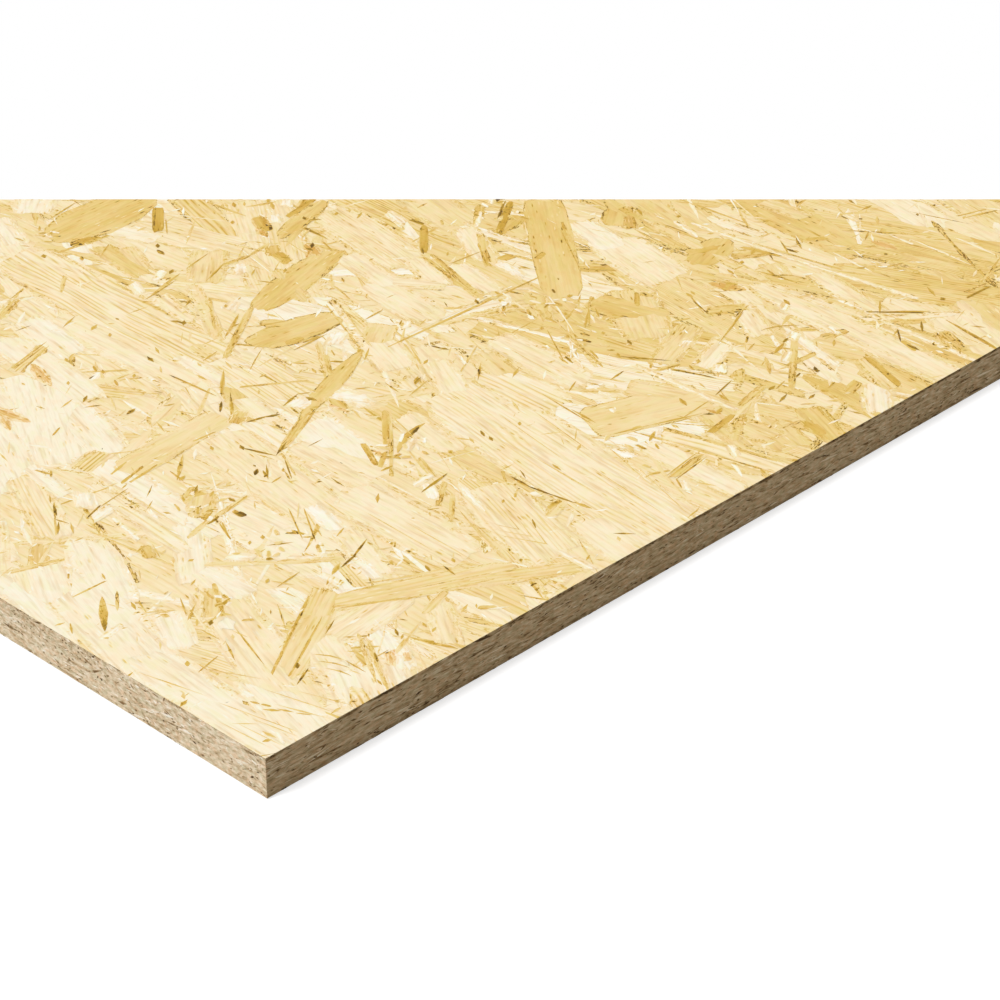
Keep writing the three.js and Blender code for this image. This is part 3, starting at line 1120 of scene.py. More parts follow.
LAID = (
    Lay(Tone.CREAM, Cut.WAFER, ring=0.1, edge=0.1, rows=(
        (14, 176, 30, 300, 30), (44, 236, 50, 340, 26), (62, 236, 84, 352, 30), (88, 262, 110, 372, 30),
        (30, 120, 52, 170, 22), (60, 108, 92, 150, 16), (84, 222, 128, 300, 34),
        (58, 218, 100, 310, 26), (6, 60, 30, 160, 30), (20, -8, 34, 44, 24),
        (62.1, 84.8, 69.5, 121.4, 14), (170, 120, 184, 178, 26), (2, 150, 8, 240, 24),
        (20, 260, 34, 360, 28), (120, 330, 140, 400, 26), (36, 44, 60, 96, 18), (-2, 112, 10, 168, 16),
        (26, 76, 40, 104, 16), (60, 18, 64, 44, 16),
    )),
    Lay(Tone.CREAM, Cut.WAFER, ring=0.12, edge=0.2, rows=(
        (8, -6, 14, 112, 24), (72, 86, 70, 122, 13), (92, 128, 97, 230, 18), (104, 214, 118, 264, 24),
        (128, 258, 140, 336, 22), (180, 226, 184, 274, 11), (212, 166, 212, 190, 12),
        (362, 0, 386, 21, 15), (248, 392, 257, 363, 14), (232, 432, 246, 446, 22),
        (205, 408, 218, 442, 14), (68, 200, 72, 236, 12), (150, 296, 158, 344, 22),
        (12, 138, 27, 168, 26), (385, 40, 398, 84, 9), (403, 184, 416, 232, 20), (50, -2, 64, 22, 24),
        (66, -4, 76, 14, 12),
    )),
    Lay(Tone.PALE, Cut.WAFER, ring=0.22, edge=0.25, rows=(
        (30, 8, 62, 102, 27), (150, 44, 153, 122, 30), (70, 41, 116, 46, 20), (200, -6, 208, 34, 26),
        (133, 112, 147, 198, 32), (294, 110, 297, 174, 23), (412, -6, 425, 124, 23),
        (170, 236, 172, 336, 24), (168, 116, 169, 166, 27), (330, 204, 339, 242, 15),
        (268, -2, 272, 57, 18), (440, 58, 453, 112, 15), (208, 110, 216, 152, 17),
        (6, 174, 34, 214, 22), (118, 60, 132, 100, 14), (244, 180, 262, 226, 22), (100, 4, 118, 30, 12),
        (340, 84, 372, 96, 13), (384, 84, 404, 118, 16), (432, 62, 428, 120, 9),
        (352, 228, 372, 268, 15), (246, 146, 262, 178, 17), (300, 256, 322, 226, 14),
        (210, 284, 217, 318, 12), (58, 22, 68, 48, 20), (405.7, 5.3, 413.7, 100.6, 10),
        (172, 184, 178, 214, 13), (290, 204, 298, 258, 24), (398, 152, 412, 206, 33),
        (300, 236, 310, 288, 17), (318, 226, 330, 262, 14),
    )),
    Lay(Tone.PALE, Cut.WAFER, ring=0.5, pitch=2.2, edge=0.3, rows=(
        (222, -8, 247, 154, 48), (44, 176, 67, 230, 18), (324, 256, 338, 330, 31),
        (176, 18, 196, 84, 32),
    )),
    Lay(Tone.PALE, Cut.WAFER, ring=0.9, pitch=3.1, edge=0.35, rows=(
        (190, 246, 197, 404, 38), (268, 104, 271, 154, 27), (282, 59, 297, -6, 15),
        (75, 122, 79, 180, 11), (46, -6, 58, 16, 10),
    )),
    Lay(Tone.STRAW, Cut.SQUARE, ring=1.0, pitch=2.5, edge=0.6, rows=(
        (122, 305, 151, 316.5, 9), (86, 214, 104, 219, 13), (262, 221, 272, 255, 7),
    )),
    Lay(Tone.STRAW, Cut.WAFER, ring=0.2, edge=0.3, rows=(
        (345, 119, 378, 163, 28), (372, 268, 384, 316, 28), (304, 98, 318, 68, 18),
        (206, 261, 237, 316, 9), (194, 251, 196, 269, 11), (274, 141, 282, 167, 17),
        (330, 100, 372, 116, 15), (384, 8, 400, 40, 12), (196, 44, 214, 50, 7),
        (240, 310, 268, 338, 20), (262, 262, 276, 300, 9), (48, 84, 66, 104, 11),
        (497, 182, 500, 150, 12), (312.7, 42.5, 314.3, 17.7, 17), (303, 40.8, 345.8, 51.5, 5),
        (226.6, 340, 238, 372, 17), (94, 147, 112, 163, 15),
    )),
    Lay(Tone.STRAW, Cut.SQUARE, ring=0.05, edge=0.6, fray=0.3, rows=(
        (266, 86, 322, 66, 30), (92, 199, 161, 207, 18), (250, 206, 271, 220, 17),
    )),
    Lay(Tone.HONEY, Cut.WAFER, ring=0.05, edge=0.5, fray=0.2, rows=(
        (422.8, 261.2, 349, 177.3, 22.5),
    )),
    Lay(Tone.STRAW, Cut.STRIP, ring=0.35, pitch=3.4, edge=0.4, fray=0.4, rows=(
        (126, 40, 179, 7, 11), (83, 62, 161, 26, 15), (34.6, 31, 94.6, 67, 14.8),
        (109, 28, 128, 34.5, 4.6), (62, 0, 81, 31, 2.4), (60, 3, 83, 39, 2.2),
        (353, 227, 369, 251, 4.5), (12, 171, 37, 161.5, 3.6), (72, 119, 96, 97, 3.6),
        (94, 99, 116, 81, 4.4), (80, 138, 98, 143.5, 3.2), (100, 143, 123, 147, 3),
        (212, 192, 238, 229, 4), (308, 118, 331, 166, 2.2), (430, 120, 440, 204, 8),
        (250, 204, 258, 228, 1.4), (73, 54.6, 95.4, 68.8, 13.6),
    )),
    Lay(Tone.HONEY, Cut.TONGUE, ring=0.08, edge=0.6, fray=0.35, rows=(
        (239, 272, 310, 294, 21), (213, 247, 263, 241, 23), (219, 403, 292, 408, 36),
        (298, 323, 346, 339, 12), (419, 155, 453, 166, 20), (356, 167, 366.7, 129.2, 24),
        (445.6, 239.3, 433.3, 204.5, 10), (424, 213, 444, 228, 16), (232, 262, 240, 250, 9),
    )),
    Lay(Tone.HONEY, Cut.WAFER, ring=0.2, edge=0.35, rows=(
        (226, 336, 232, 381, 14), (427, 205, 447, 226, 10), (148, 351, 168, 363, 7),
        (331, -2, 346, 28, 15), (434, 4, 446, 30, 9), (300, 30, 322, 44, 7), (384, 120, 404, 108, 10),
        (284, 309, 292, 320, 9), (326, 166, 344, 190, 8), (438, 150, 455, 140, 8),
        (402, 64, 418, 60, 7), (158.6, 197.4, 170.4, 203.4, 8),
    )),
    Lay(Tone.GOLD, Cut.WAFER, ring=0.05, edge=0.2, fray=0.6, rows=(
        (443, 234, 438.6, 208, 8), (425, 167, 449, 159, 10), (222, 391, 240, 387, 7),
        (288, 316, 284, 298, 7), (300, 332, 308.6, 350, 8.5), (103, 165, 112, 161, 6),
        (336.8, 20.7, 331, 3, 9), (345.8, 66, 348.4, 70.6, 6), (478, 136, 488, 129, 5),
        (377, 155, 381, 149, 5),
    )),
    Lay(Tone.HONEY, Cut.LEAF, ring=0.5, pitch=2.4, edge=0.1, fray=0.9, amber=0.75, rows=(
        (125, 282, 133, 307, 7.5), (93, 289, 98, 262, 8), (87, 263, 96, 284, 6),
        (500, 112, 501.5, 97, 8), (185, 138, 185, 128, 5), (200.5, 181, 201, 167, 5.4),
    )),
    Lay(Tone.HONEY, Cut.FLAKE, ring=0.0, edge=0.1, fray=0.9, amber=1.0, rows=(
        (81.4, 19.2, 75, 11.2, 5), (85.8, 13.8, 81, 9, 3.6),
    )),
    Lay(Tone.GOLD, Cut.LEAF, ring=0.1, edge=0.1, fray=0.8, amber=0.8, rows=(
        (304, 309, 299.4, 293, 8), (296, 328, 300, 340, 6), (409, 139, 416, 121, 9),
    )),
    Lay(Tone.TAN, Cut.LEAF, ring=0.1, edge=0.0, fray=0.7, amber=1.0, rows=(
        (410.6, 134, 414.9, 124.6, 5.4), (294, 297, 302.4, 303.6, 3.2), (313, 57.8, 314.5, 50, 2.8),
        (125.6, 285, 129, 300, 3), (94, 285, 97, 268, 3.4),
    )),
    Lay(Tone.HONEY, Cut.STRIP, ring=0.3, edge=0.4, fray=0.4, rows=(
        (215.5, 157.6, 175, 114.8, 2), (486.2, 35.9, 498, 31, 2.4), (486, 45, 502, 43, 2),
        (157, 165, 200, 187, 5), (353, 42, 400, 78, 3.6), (325, 49, 349, 54, 4.5),
        (61, 137, 66, 147, 6), (202, 172, 206, 186, 6), (342, 63.5, 352.5, 71.5, 5),
        (196, 246, 240, 276.5, 3.8), (369, 22.5, 381, 26, 6), (287.5, 60, 300, 4, 2.6),
        (281, 44, 290, 4, 1.2), (188, 101, 195, 119, 2.4), (167, 71, 183, 86, 2.6),
        (171, 83, 188, 95.6, 3), (370, 58, 390, 56.6, 3.4), (102, 164, 111, 169, 3),
        (325, 97.6, 336, 95, 3), (186, 352, 200, 366, 3), (143, 143, 150.5, 160, 1.3),
        (147, 144, 156.5, 164, 1.3), (262, 160, 286, 173, 1.1), (219, 279, 233, 302, 1.1),
        (45, 178, 62, 201, 1.1), (335, 150, 360, 170, 1.6), (334.5, 257.5, 320, 203, 3),
        (256.5, 320.3, 277.3, 318.5, 3), (276, 318.6, 293.1, 322.5, 2.6), (182, 222, 210, 203, 1.9),
        (233, 298.6, 212, 271.1, 2.2), (232, 217, 214, 193, 2.6), (326.8, 159.1, 310.5, 116.5, 2),
        (396, 280, 376, 262, 4), (372, 256, 348, 226, 4.4), (457.6, 151.6, 464.9, 101, 1.8),
        (339.5, 258, 321.6, 204.6, 3.6), (272, 252, 250.6, 205.4, 1.2), (266.4, 254, 246.6, 209.4, 1.2),
        (256.5, 29, 281, 32.6, 4.2), (86.5, 58.8, 112.7, 40.6, 1.6), (127, 35.4, 156.5, 22, 1.2),
        (112, 48, 150, 30, 1), (133, 10.6, 127, 16.4, 3),
    )),
    Lay(Tone.HONEY, Cut.LEAF, ring=0.15, edge=0.6, fray=0.25, rows=(
        (180, 179, 247, 208, 11), (26.5, 116.4, 35.8, 128, 1.9), (19.3, 34.4, 18.8, 30, 1.7),
    )),
    Lay(Tone.GOLD, Cut.STRIP, ring=0.1, edge=0.25, fray=0.3, rows=(
        (186.6, 144.8, 177, 125.7, 3), (298, 42.6, 319, 46, 3.8), (214, 159.1, 190, 133, 3.6),
        (176.7, 123.9, 188.4, 132.2, 2.6), (52.4, 83, 66.6, 104.9, 2.6), (37.9, 39.1, 87.1, 70.4, 1.5),
        (41.8, 33.3, 82.1, 56.7, 1.5), (512, 114, 516, 116, 3), (553.3, 94.9, 572.9, 88.3, 1.4),
        (552, 99, 570, 93, 1.2), (202, 49, 211, 49.8, 2.8), (408, 129.6, 418, 130.6, 6),
        (409, 129, 416, 131.6, 4), (226, 238, 236, 236, 5), (95.6, 145, 103.6, 149, 3.2),
        (109, 136, 109.6, 142, 2.6), (318, 338, 345, 345, 4), (256, 201.3, 358, 201.3, 1.7),
        (371, 216, 379, 218, 4.4), (358, 228, 366, 227, 6), (450.2, 154, 457.8, 127.5, 3.4),
        (366, 146, 378, 157, 3), (20, 137, 38, 137, 1.1), (108, 144, 122, 146.6, 1.2),
        (136, 198.4, 149, 197.8, 1.2), (94, 190.6, 113, 194, 1.6), (422, 25, 426, 36, 3),
        (372.8, 58.7, 379.4, 56.8, 2.5), (402.1, 38.3, 390.1, 9.1, 4), (325.7, 97.5, 337.3, 93.7, 1.6),
        (410.5, 236.4, 400.6, 223.3, 1.8), (395.4, 276, 384, 266, 1.6), (364, 249, 350, 230, 1.4),
        (91, 192.6, 108, 197.4, 1.8), (93, 201.6, 105, 205.4, 1.5),
    )),
    Lay(Tone.GOLD, Cut.LEAF, ring=0.1, edge=0.3, fray=0.3, rows=(
        (14, 109, 29, 129, 3.8), (191, 127.6, 218, 138, 4, 0.09), (215, 320, 240, 328, 2.2),
        (88, 55.6, 113, 41.6, 1.5), (124, 303, 149, 314, 1.3), (123, 309, 151, 318, 1.2),
    )),
    Lay(Tone.CREAM, Cut.STRIP, ring=0.1, edge=0.1, rows=(
        (270, 203.9, 342, 203.9, 1.4), (322, 46, 322, 109, 4.4), (433, -2, 436, 63, 4),
        (515, 140.4, 513.4, 130, 4), (512.4, 110.3, 511.3, 94, 2.4), (454, 190, 457.3, 122, 4),
        (457.3, 125, 465.2, 56.4, 4), (149.6, 165.4, 139, 151.6, 3), (151.6, 159.8, 144, 148, 2.4),
        (269.4, 251, 249.4, 208.6, 3.4),
    )),
    Lay(Tone.BLEACHED, Cut.FLAKE, ring=0.0, edge=0.1, rows=(
        (101, 98.5, 108.6, 90.6, 5), (99.4, 81, 100.6, 66, 7), (113, 60, 118.6, 79, 9),
        (84, 116.6, 91, 107, 6), (129, 97, 134.6, 123, 10), (174, 88, 181.6, 100, 6),
        (175.6, 102.6, 189, 103.8, 4), (253, 16, 259, 24.6, 4), (64, 178.6, 77, 180.6, 7),
        (68, 186, 76, 199, 10), (66.4, 151, 71, 173.6, 2.8), (186.6, 190, 198, 191.4, 11),
        (208, 187, 216, 171, 10), (194.6, 126, 206, 132, 4), (269, 163, 274.4, 175.6, 2.4),
        (352, 205.6, 355, 228, 8), (371.6, 61.6, 381.6, 66.6, 4), (343, 75.6, 350, 81, 7),
        (390.6, 72.6, 398.6, 76.6, 6), (350, 105, 359, 107.6, 5), (411, 94.6, 418.6, 98.6, 5),
        (275, 208.6, 280.6, 214.6, 5), (260, 306, 267.6, 315.6, 8), (230, 281.6, 238.6, 286.6, 7),
        (240, 221, 252.6, 228.6, 9), (353, 289, 357.6, 307, 7), (326, 347, 333.6, 354.6, 7),
        (385, 120, 391, 131.6, 1.8), (444, 175.6, 450, 197, 4), (310, 336.6, 316.6, 346, 7),
        (212, 323.6, 218, 337, 6), (226, 330, 236.6, 336.6, 5), (8, 104.6, 22, 107.6, 4),
        (376, 262, 392, 274, 3), (400, 276, 408, 282, 3), (290, 20, 296, 30, 5), (180, 2, 181, 24, 5),
        (410, 60, 414, 70, 4), (283.4, 85, 284, 89, 3), (433.1, 24, 434, 30, 3.4),
        (456.7, 8, 458, 12, 3), (437.7, 82.9, 438.6, 66, 2.6),
    )),
    Lay(Tone.BLEACHED, Cut.LEAF, ring=0.0, edge=0.1, rows=(
        (182, 66, 191.6, 92, 5.4), (110, 88, 118, 98, 4),
    )),
    Lay(Tone.BLEACHED, Cut.FLAKE, ring=0.0, edge=0.25, fray=0.35, rows=(
        (22.8, 38.6, 23.4, 33, 3.6), (82.4, 14.4, 75.2, 7, 3), (14.6, 10.3, 11.3, 1.8, 1.6),
        (9.6, 14, 9, 10.6, 2.6),
    )),
    Lay(Tone.TAN, Cut.SPLINTER, ring=0.0, edge=0.1, fray=0.35, rows=(
        (172, 220.6, 189, 238.4, 2.3), (103.6, 75.4, 112, 79.6, 2.6), (82, 84.4, 96.4, 86.4, 1.1),
        (125, 95.6, 132.6, 98.8, 1.2), (20, 60.6, 33, 63.8, 1.1), (88.6, 189, 93, 190.6, 1),
        (73, 184, 91, 187.4, 1), (32, 111.6, 34.6, 118, 1.4), (51, 85.6, 46, 83.6, 1.2),
        (43, 94, 50, 106, 1), (35, 56, 42, 70, 1), (41, 46, 51, 75, 1), (0, 48, 5.4, 49.6, 1.8),
        (20, 66.6, 22.4, 69.6, 2.3), (20.8, 32, 22.4, 27.8, 1.3), (22.6, 27.6, 24.2, 23.6, 1.7),
        (6.6, 9, 10, 7.6, 2), (81, 89.6, 84, 91.6, 2), (126, 63, 127, 66.6, 1.6),
        (131, 58.6, 131.8, 63.6, 1.5), (138, 39.6, 139.8, 48.6, 1.5), (144.6, 46.6, 146.4, 50, 1.8),
        (103, 20.6, 104.4, 24.4, 1.4), (102, 16.6, 105.6, 18, 1.6), (90, 21.6, 93.4, 23.8, 1.1),
        (199, 65, 201.8, 67.6, 1.8), (192, 65.6, 194.6, 67.4, 1.5), (229, 66.6, 230.4, 73.6, 1.4),
        (245, 106.6, 247.6, 109, 1.8), (188, 116.4, 190, 119, 1.2), (213.4, 45, 214.8, 35.6, 2.2),
        (267, 72.4, 285, 66, 1.4), (284, 66.4, 309, 56.4, 1.4), (274, 56.6, 282.6, 60.8, 2.2),
        (257, 31.6, 280.6, 35.2, 1.1), (257, 26.6, 281.4, 30, 1.1), (258, 27, 253.6, 20, 1.4),
        (287.6, 2.6, 289, 6.4, 2), (268, 84, 273, 120, 1.1), (270, 84, 271.6, 100.6, 1.4),
        (313, 51.6, 319, 53.6, 2.6), (309.6, 66, 312.6, 73, 2.6), (326, 55.6, 327.6, 62.6, 2.4),
        (349, 47.6, 358, 49.8, 1), (375, 70, 386, 73.4, 2.6), (374, 86, 380, 90, 1.8),
        (382, 101.6, 400, 109, 1.1), (386, 113, 391.6, 115.6, 1.8), (418, 96, 420.6, 102, 2.4),
        (343, 88.6, 347, 91.4, 2), (337, 85.6, 339.4, 90.6, 1.6), (304, 106.6, 314.6, 108, 1.4),
        (325, 101, 327.6, 103.4, 1.8), (440.6, 62, 459, 44.6, 2.4), (366, 31.4, 373, 33, 1.2),
        (111, 175, 112.6, 186, 1.4), (110, 177, 114.6, 178.4, 2.6), (137, 186, 139, 190, 1.8),
        (136, 147.4, 142.6, 148.4, 1.4), (145.6, 150.6, 148, 153.4, 1.4), (110, 157, 114.6, 160, 2),
        (94.6, 128, 100.6, 139, 1.2), (96, 116.6, 98.4, 118.8, 1.5), (102.6, 115.6, 105, 118.6, 1.8),
        (8, 123, 3.6, 116, 1.2), (28, 149, 30.6, 152, 1.4), (38, 138, 40, 142.6, 1.2),
        (60, 145, 66, 147, 1.2), (70, 124.8, 73, 124.2, 1.8), (73, 228, 76, 219, 1.8),
        (74, 218, 77.6, 222.6, 1.5), (185, 184, 186.6, 191, 1.8), (197, 197.6, 202, 194.6, 1.2),
        (216, 206, 218, 211, 1.8), (239.6, 166.4, 246, 171, 2.6), (230, 160.6, 247, 165.4, 1.1),
        (233.6, 212.6, 236.4, 218, 1.2), (243, 207, 246.6, 209, 2.3), (256, 177.6, 260.6, 179.4, 1.8),
        (261.6, 148.6, 276, 160.6, 1.1), (274.6, 139.6, 284, 144.4, 1.4), (240, 199.6, 250, 207, 1.2),
        (302, 130.6, 303.6, 138, 1.6), (283, 112.6, 292.6, 117, 1.1), (303, 134.6, 320, 161, 1.1),
        (315, 124, 319, 133, 1.8), (318, 162.6, 320.6, 164.8, 2), (333, 149, 348, 160.6, 1.4),
        (356, 166, 360, 168.4, 1.8), (383, 119, 393.6, 138, 1.2), (392, 134, 393.6, 139.6, 2.3),
        (334.6, 138.6, 336.4, 141, 2), (323, 117.6, 325.4, 122, 2.3), (437.6, 121.6, 439.6, 128, 1.8),
        (424.6, 136, 426.6, 142, 2), (436, 141, 439, 143, 2.4), (447, 144, 453, 147, 2.4),
        (454, 197.4, 457, 199.8, 2.4), (352, 160, 346, 152, 1.2), (380, 197, 403, 230, 1.2),
        (144.6, 295.6, 146.6, 299, 1.8), (149, 274.6, 151, 278, 1.9), (131, 277.6, 133.4, 280.6, 1.5),
        (156, 262, 158.6, 264.6, 1.8), (97, 246, 104, 249.6, 1.6), (148, 278.6, 150.6, 284, 2),
        (148, 232, 153, 230, 1.4), (146, 261, 148.6, 266.6, 1.8), (242.6, 312.6, 263, 321.6, 1.2),
        (244.6, 329.6, 264, 335, 1.2), (262, 301.6, 268, 305.6, 1.2), (231, 284.6, 233.4, 287.6, 1.6),
        (283, 302.6, 290, 305.4, 1.8), (275, 292.6, 279, 295.6, 1.9), (308, 293.6, 311.6, 304.6, 1.8),
        (172, 312, 177.6, 314.6, 2.6), (174, 300.6, 176.4, 303.6, 1.8), (164.6, 323.6, 176, 328.6, 1.4),
        (188, 251.6, 199, 254.4, 1.5), (268, 228.8, 281, 230.2, 1.4), (232, 232.6, 243, 231.8, 2),
        (343, 249.6, 346.6, 252.4, 1.4), (337, 242.4, 359, 241, 1.1), (337, 322.4, 340, 324.6, 2.4),
        (341.6, 311.8, 348.6, 315.4, 1.8), (359, 286, 362, 291, 2.6), (216, 372.6, 218.6, 377, 2.4),
        (221, 405.6, 227, 409.6, 2), (222, 414, 226, 418.6, 1.4), (294, 351.6, 297, 354.6, 2.3),
        (226, 370.6, 237, 378, 1.4), (308, 365.6, 311.4, 370.6, 2.6), (320, 349.6, 324.6, 357, 2.6),
        (323, 357, 328, 362.4, 2.3), (264, 366, 275, 380, 1.1), (233, 421, 256, 427.6, 1.4),
        (224, 230, 246, 231, 1.4), (228, 260, 242, 254, 1.2), (300, 60, 320, 62, 1.1),
        (209.5, 318.3, 234.5, 324, 1.3), (168.9, 252.9, 170.5, 222, 1.8),
        (351.9, 164.2, 335.6, 148.5, 1.3), (363.9, 94.4, 397.3, 107.1, 1.2),
        (451.5, 68.7, 439.9, 59.7, 1.4), (98.9, 138.4, 93.4, 125, 1.5), (131.6, 122.6, 116.6, 99, 1.2),
        (127, 127, 114, 104, 1.1), (388, 89, 404.6, 79.4, 1.2, 0.12), (20.6, 24.6, 25, 18.6, 1.5),
        (24.6, 21, 27.6, 14.6, 1.1), (27.6, 14, 31, 8.6, 1), (59.1, 38.4, 64.8, 26.5, 1, 0.08),
        (64.8, 26.5, 64.7, 14.8, 1), (57.1, 33.4, 62.4, 21.1, 0.9, 0.08),
        (55.7, 28, 59.1, 16.6, 0.9, 0.08),
    )),
    Lay(Tone.TAN, Cut.STRIP, ring=0.05, edge=0.2, fray=0.2, rows=(
        (359.6, 282.5, 336.8, 259.3, 4.4), (376.8, 248, 411, 271.6, 4.2),
        (262.3, 370.9, 281.2, 393.4, 6),
    )),
    Lay(Tone.BROWN, Cut.STRIP, ring=0.0, edge=0.1, fray=0.2, rows=(
        (359.4, 292, 360.2, 283, 2.6), (481.5, 40.8, 500.6, 40.2, 1.6), (472, 47.4, 474.6, 49, 2.4),
        (436.9, 66.6, 456.6, 45, 1.2), (388, 259, 405, 271.6, 1.6), (109.8, 139.6, 109.8, 134.8, 3.4),
    )),
    Lay(Tone.BROWN, Cut.SPLINTER, ring=0.0, edge=0.1, fray=0.25, rows=(
        (118, 78.8, 132.6, 85.4, 1.4), (210.4, 79, 209.6, 65.6, 1.5), (211, 57.6, 213.2, 43.6, 1.4),
        (133, 49, 134.8, 53.6, 2), (76.4, 22.4, 72.8, 16.6, 1.7), (48.2, 35.4, 51, 38.6, 2.4),
        (174.4, 96.2, 193.6, 99.8, 1.8), (63.6, 180.8, 74, 185, 1.4), (46.6, 179, 53.4, 187, 1.2),
        (55.6, 191, 60.6, 199.6, 1.4), (146.6, 177, 148.4, 181.4, 2), (184.6, 193.8, 197.6, 197.8, 1.5),
        (197.4, 193, 198.8, 187, 2.6), (40.6, 27.4, 51.4, 32.6, 1.2), (91, 24.2, 93.6, 28.6, 1.5),
        (97, 151.6, 102.8, 154.6, 1.4), (94.6, 141, 100.8, 142.4, 1.5), (105, 162.2, 113, 168.4, 1.8),
        (137.8, 152, 140.6, 158, 1.5), (240.6, 167.6, 246.4, 169.6, 1.8), (271, 188, 272.8, 182, 1.5),
        (272.4, 184, 274.2, 179, 1.4), (303.8, 129.6, 306.6, 137, 1.8), (172, 267, 173.4, 273.4, 2),
        (204, 293, 207, 288, 2.3), (205, 285, 209, 289, 2), (236, 331.2, 240.4, 333.8, 2.4),
        (248, 349.4, 249, 356, 3), (250.8, 357.6, 253.6, 361, 2.4), (205, 388, 207, 391.8, 2.6),
        (322.8, 329.2, 324.8, 333, 2.4), (340.6, 38.8, 349, 41.2, 1.4), (424.4, 35.6, 433.6, 44.6, 1.2),
        (439.4, 34.6, 447.8, 41.6, 1.5), (325.6, 63.2, 341.6, 67.2, 1.1), (346, 49.4, 351, 49.8, 2),
        (262.4, 374.4, 280.6, 394.4, 1.7), (125.6, 260.4, 130.8, 263.9, 1.8),
        (131.8, 237.8, 138, 239.2, 2.4), (227, 105.4, 228.8, 109.4, 1.8),
        (227.4, 110.8, 230, 115.8, 1.8), (336, 122.6, 338, 127, 2.2), (269.8, 250.4, 272, 254, 1.9),
        (392.6, 263.2, 408.6, 273.4, 1.2), (187, 41.6, 191.4, 48, 1.2), (317, 203, 319, 206.6, 2),
        (391, 106.6, 397.4, 108.8, 1.2), (386, 74, 391.4, 75.4, 1.8), (275.6, 213.4, 279.6, 216, 1.2),
        (13.6, 108.4, 20.6, 117.6, 2.4), (246, 313.5, 259.9, 320, 1.2), (322.6, 120.3, 336.9, 99, 1.4),
        (389.8, 132.2, 384, 117.2, 1.2), (107.4, 164.6, 111, 166, 2), (96.8, 152.8, 101.6, 152.6, 1.8),
        (96, 140.9, 102.4, 142.6, 2), (115, 151, 115, 146.6, 2.4), (424.3, 32.1, 423.7, 24.3, 2.2),
        (515.4, 131.6, 517.4, 131, 2), (285.6, 306.6, 288, 302.4, 2.2), (301, 305.4, 301.6, 300.6, 2.4),
        (374.6, 46.4, 376.4, 44.4, 2.6), (396.6, 111.4, 398.6, 109, 2),
        (205.4, 388.6, 206.8, 391.6, 3.2), (163.6, 194.6, 175, 191.8, 1.8),
        (137, 153.2, 139.6, 154, 1.8), (153, 163.4, 164.7, 169.2, 1.6), (145.4, 161.2, 136.8, 150.4, 1),
        (153.4, 158.2, 144.2, 143.6, 1), (147, 179.4, 152.8, 163.4, 1.7),
    )),
    Lay(Tone.KNOT, Cut.SPLINTER, ring=0.0, edge=0.0, fray=0.2, rows=(
        (110, 76.8, 121.4, 79.8, 1.6), (44.8, 82.2, 48, 84.8, 2), (206, 134.8, 213.6, 137.4, 2.2),
        (266.6, 152.4, 270.2, 156.4, 1.6), (303, 303.2, 307.4, 307.2, 2.3),
        (404.6, 275.6, 409, 278.8, 2.3), (350, 184.2, 352.2, 187.8, 2), (374.4, 44.6, 377.8, 48.8, 2.2),
        (209.6, 67.6, 211.4, 54.6, 1.4), (205.6, 289.6, 207.4, 285.6, 1.8),
        (336.4, 259.2, 341, 265, 1.4), (135.4, 157.2, 139.8, 160.6, 2.4),
        (161.8, 209.8, 168.8, 216.8, 1.7), (172.6, 192, 179, 189.4, 2),
    )),
    Lay(Tone.HONEY, Cut.SPLINTER, ring=0.0, edge=0.1, fray=0.4, rows=(
        (170, 63, 192, 63, 1.9, -1.5), (173, 63, 189, 63, 1.6, -1.55),
        (176.4, 63, 186.4, 63, 1.4, -1.7), (166, 52, 176, 76, 0.9), (188, 30, 200, 60, 0.9),
        (160, 30, 170, 62, 0.9), (240, 6, 254, 46, 0.8), (246, 30, 258, 66, 0.8),
        (232, 10, 240, 60, 0.8), (224, 30, 230, 90, 0.8), (236, 70, 246, 120, 0.8),
        (250, 70, 259, 112, 0.9), (151, 44, 153, 84, 0.8), (145, 60, 147, 100, 0.8),
        (205, 130, 214, 160, 0.9), (290, 126, 294, 160, 0.8), (121, 100, 130, 119, 1.1),
        (139, 104, 141.4, 122, 1), (124, 118, 133, 127, 0.9), (86, 150, 88, 180, 0.8),
        (12, 40, 20, 4, 0.7), (26, 24, 34, 2, 0.8), (30, 34, 38, 4, 0.7), (8, 24, 10, 2, 0.6),
        (14, 22, 18, 2, 0.6), (4, 30, 6, 4, 0.6), (38, 24, 46, 2, 0.7), (24, 60, 34, 40, 0.7),
        (4, 78, 12, 46, 0.7),
    )),
)

CRUMBS = Kind(
    form=TINY,
    cut=Cut.STRIP,
    per_m2=0,  # they lie in heaps alone
    length=(3, 8),
    width=(1.4, 2.8),
    spread=40,
    stray=0.5,
    tones=((0.4, 0.62, 0.05), (0.3, 0.1, 0.05), (0.3, 0.84, 0.07)),
    edge=(0.0, 0.1),
    levels=(0.0, 0.05),
    fray=0.5,
)
HEAPS = (
    Heap(103, 164, 4, 5), Heap(99, 149, 5, 5), Heap(222, 407, 4, 8), Heap(477, 90.6, 4, 7),
    Heap(328, 192, 7, 22), Heap(341, 176, 6, 16), Heap(320, 146, 9, 18), Heap(196, 128, 7, 14),
    Heap(395, 262, 8, 14), Heap(52, 90, 8, 12), Heap(108, 108, 9, 14), Heap(270, 60, 8, 12),
)


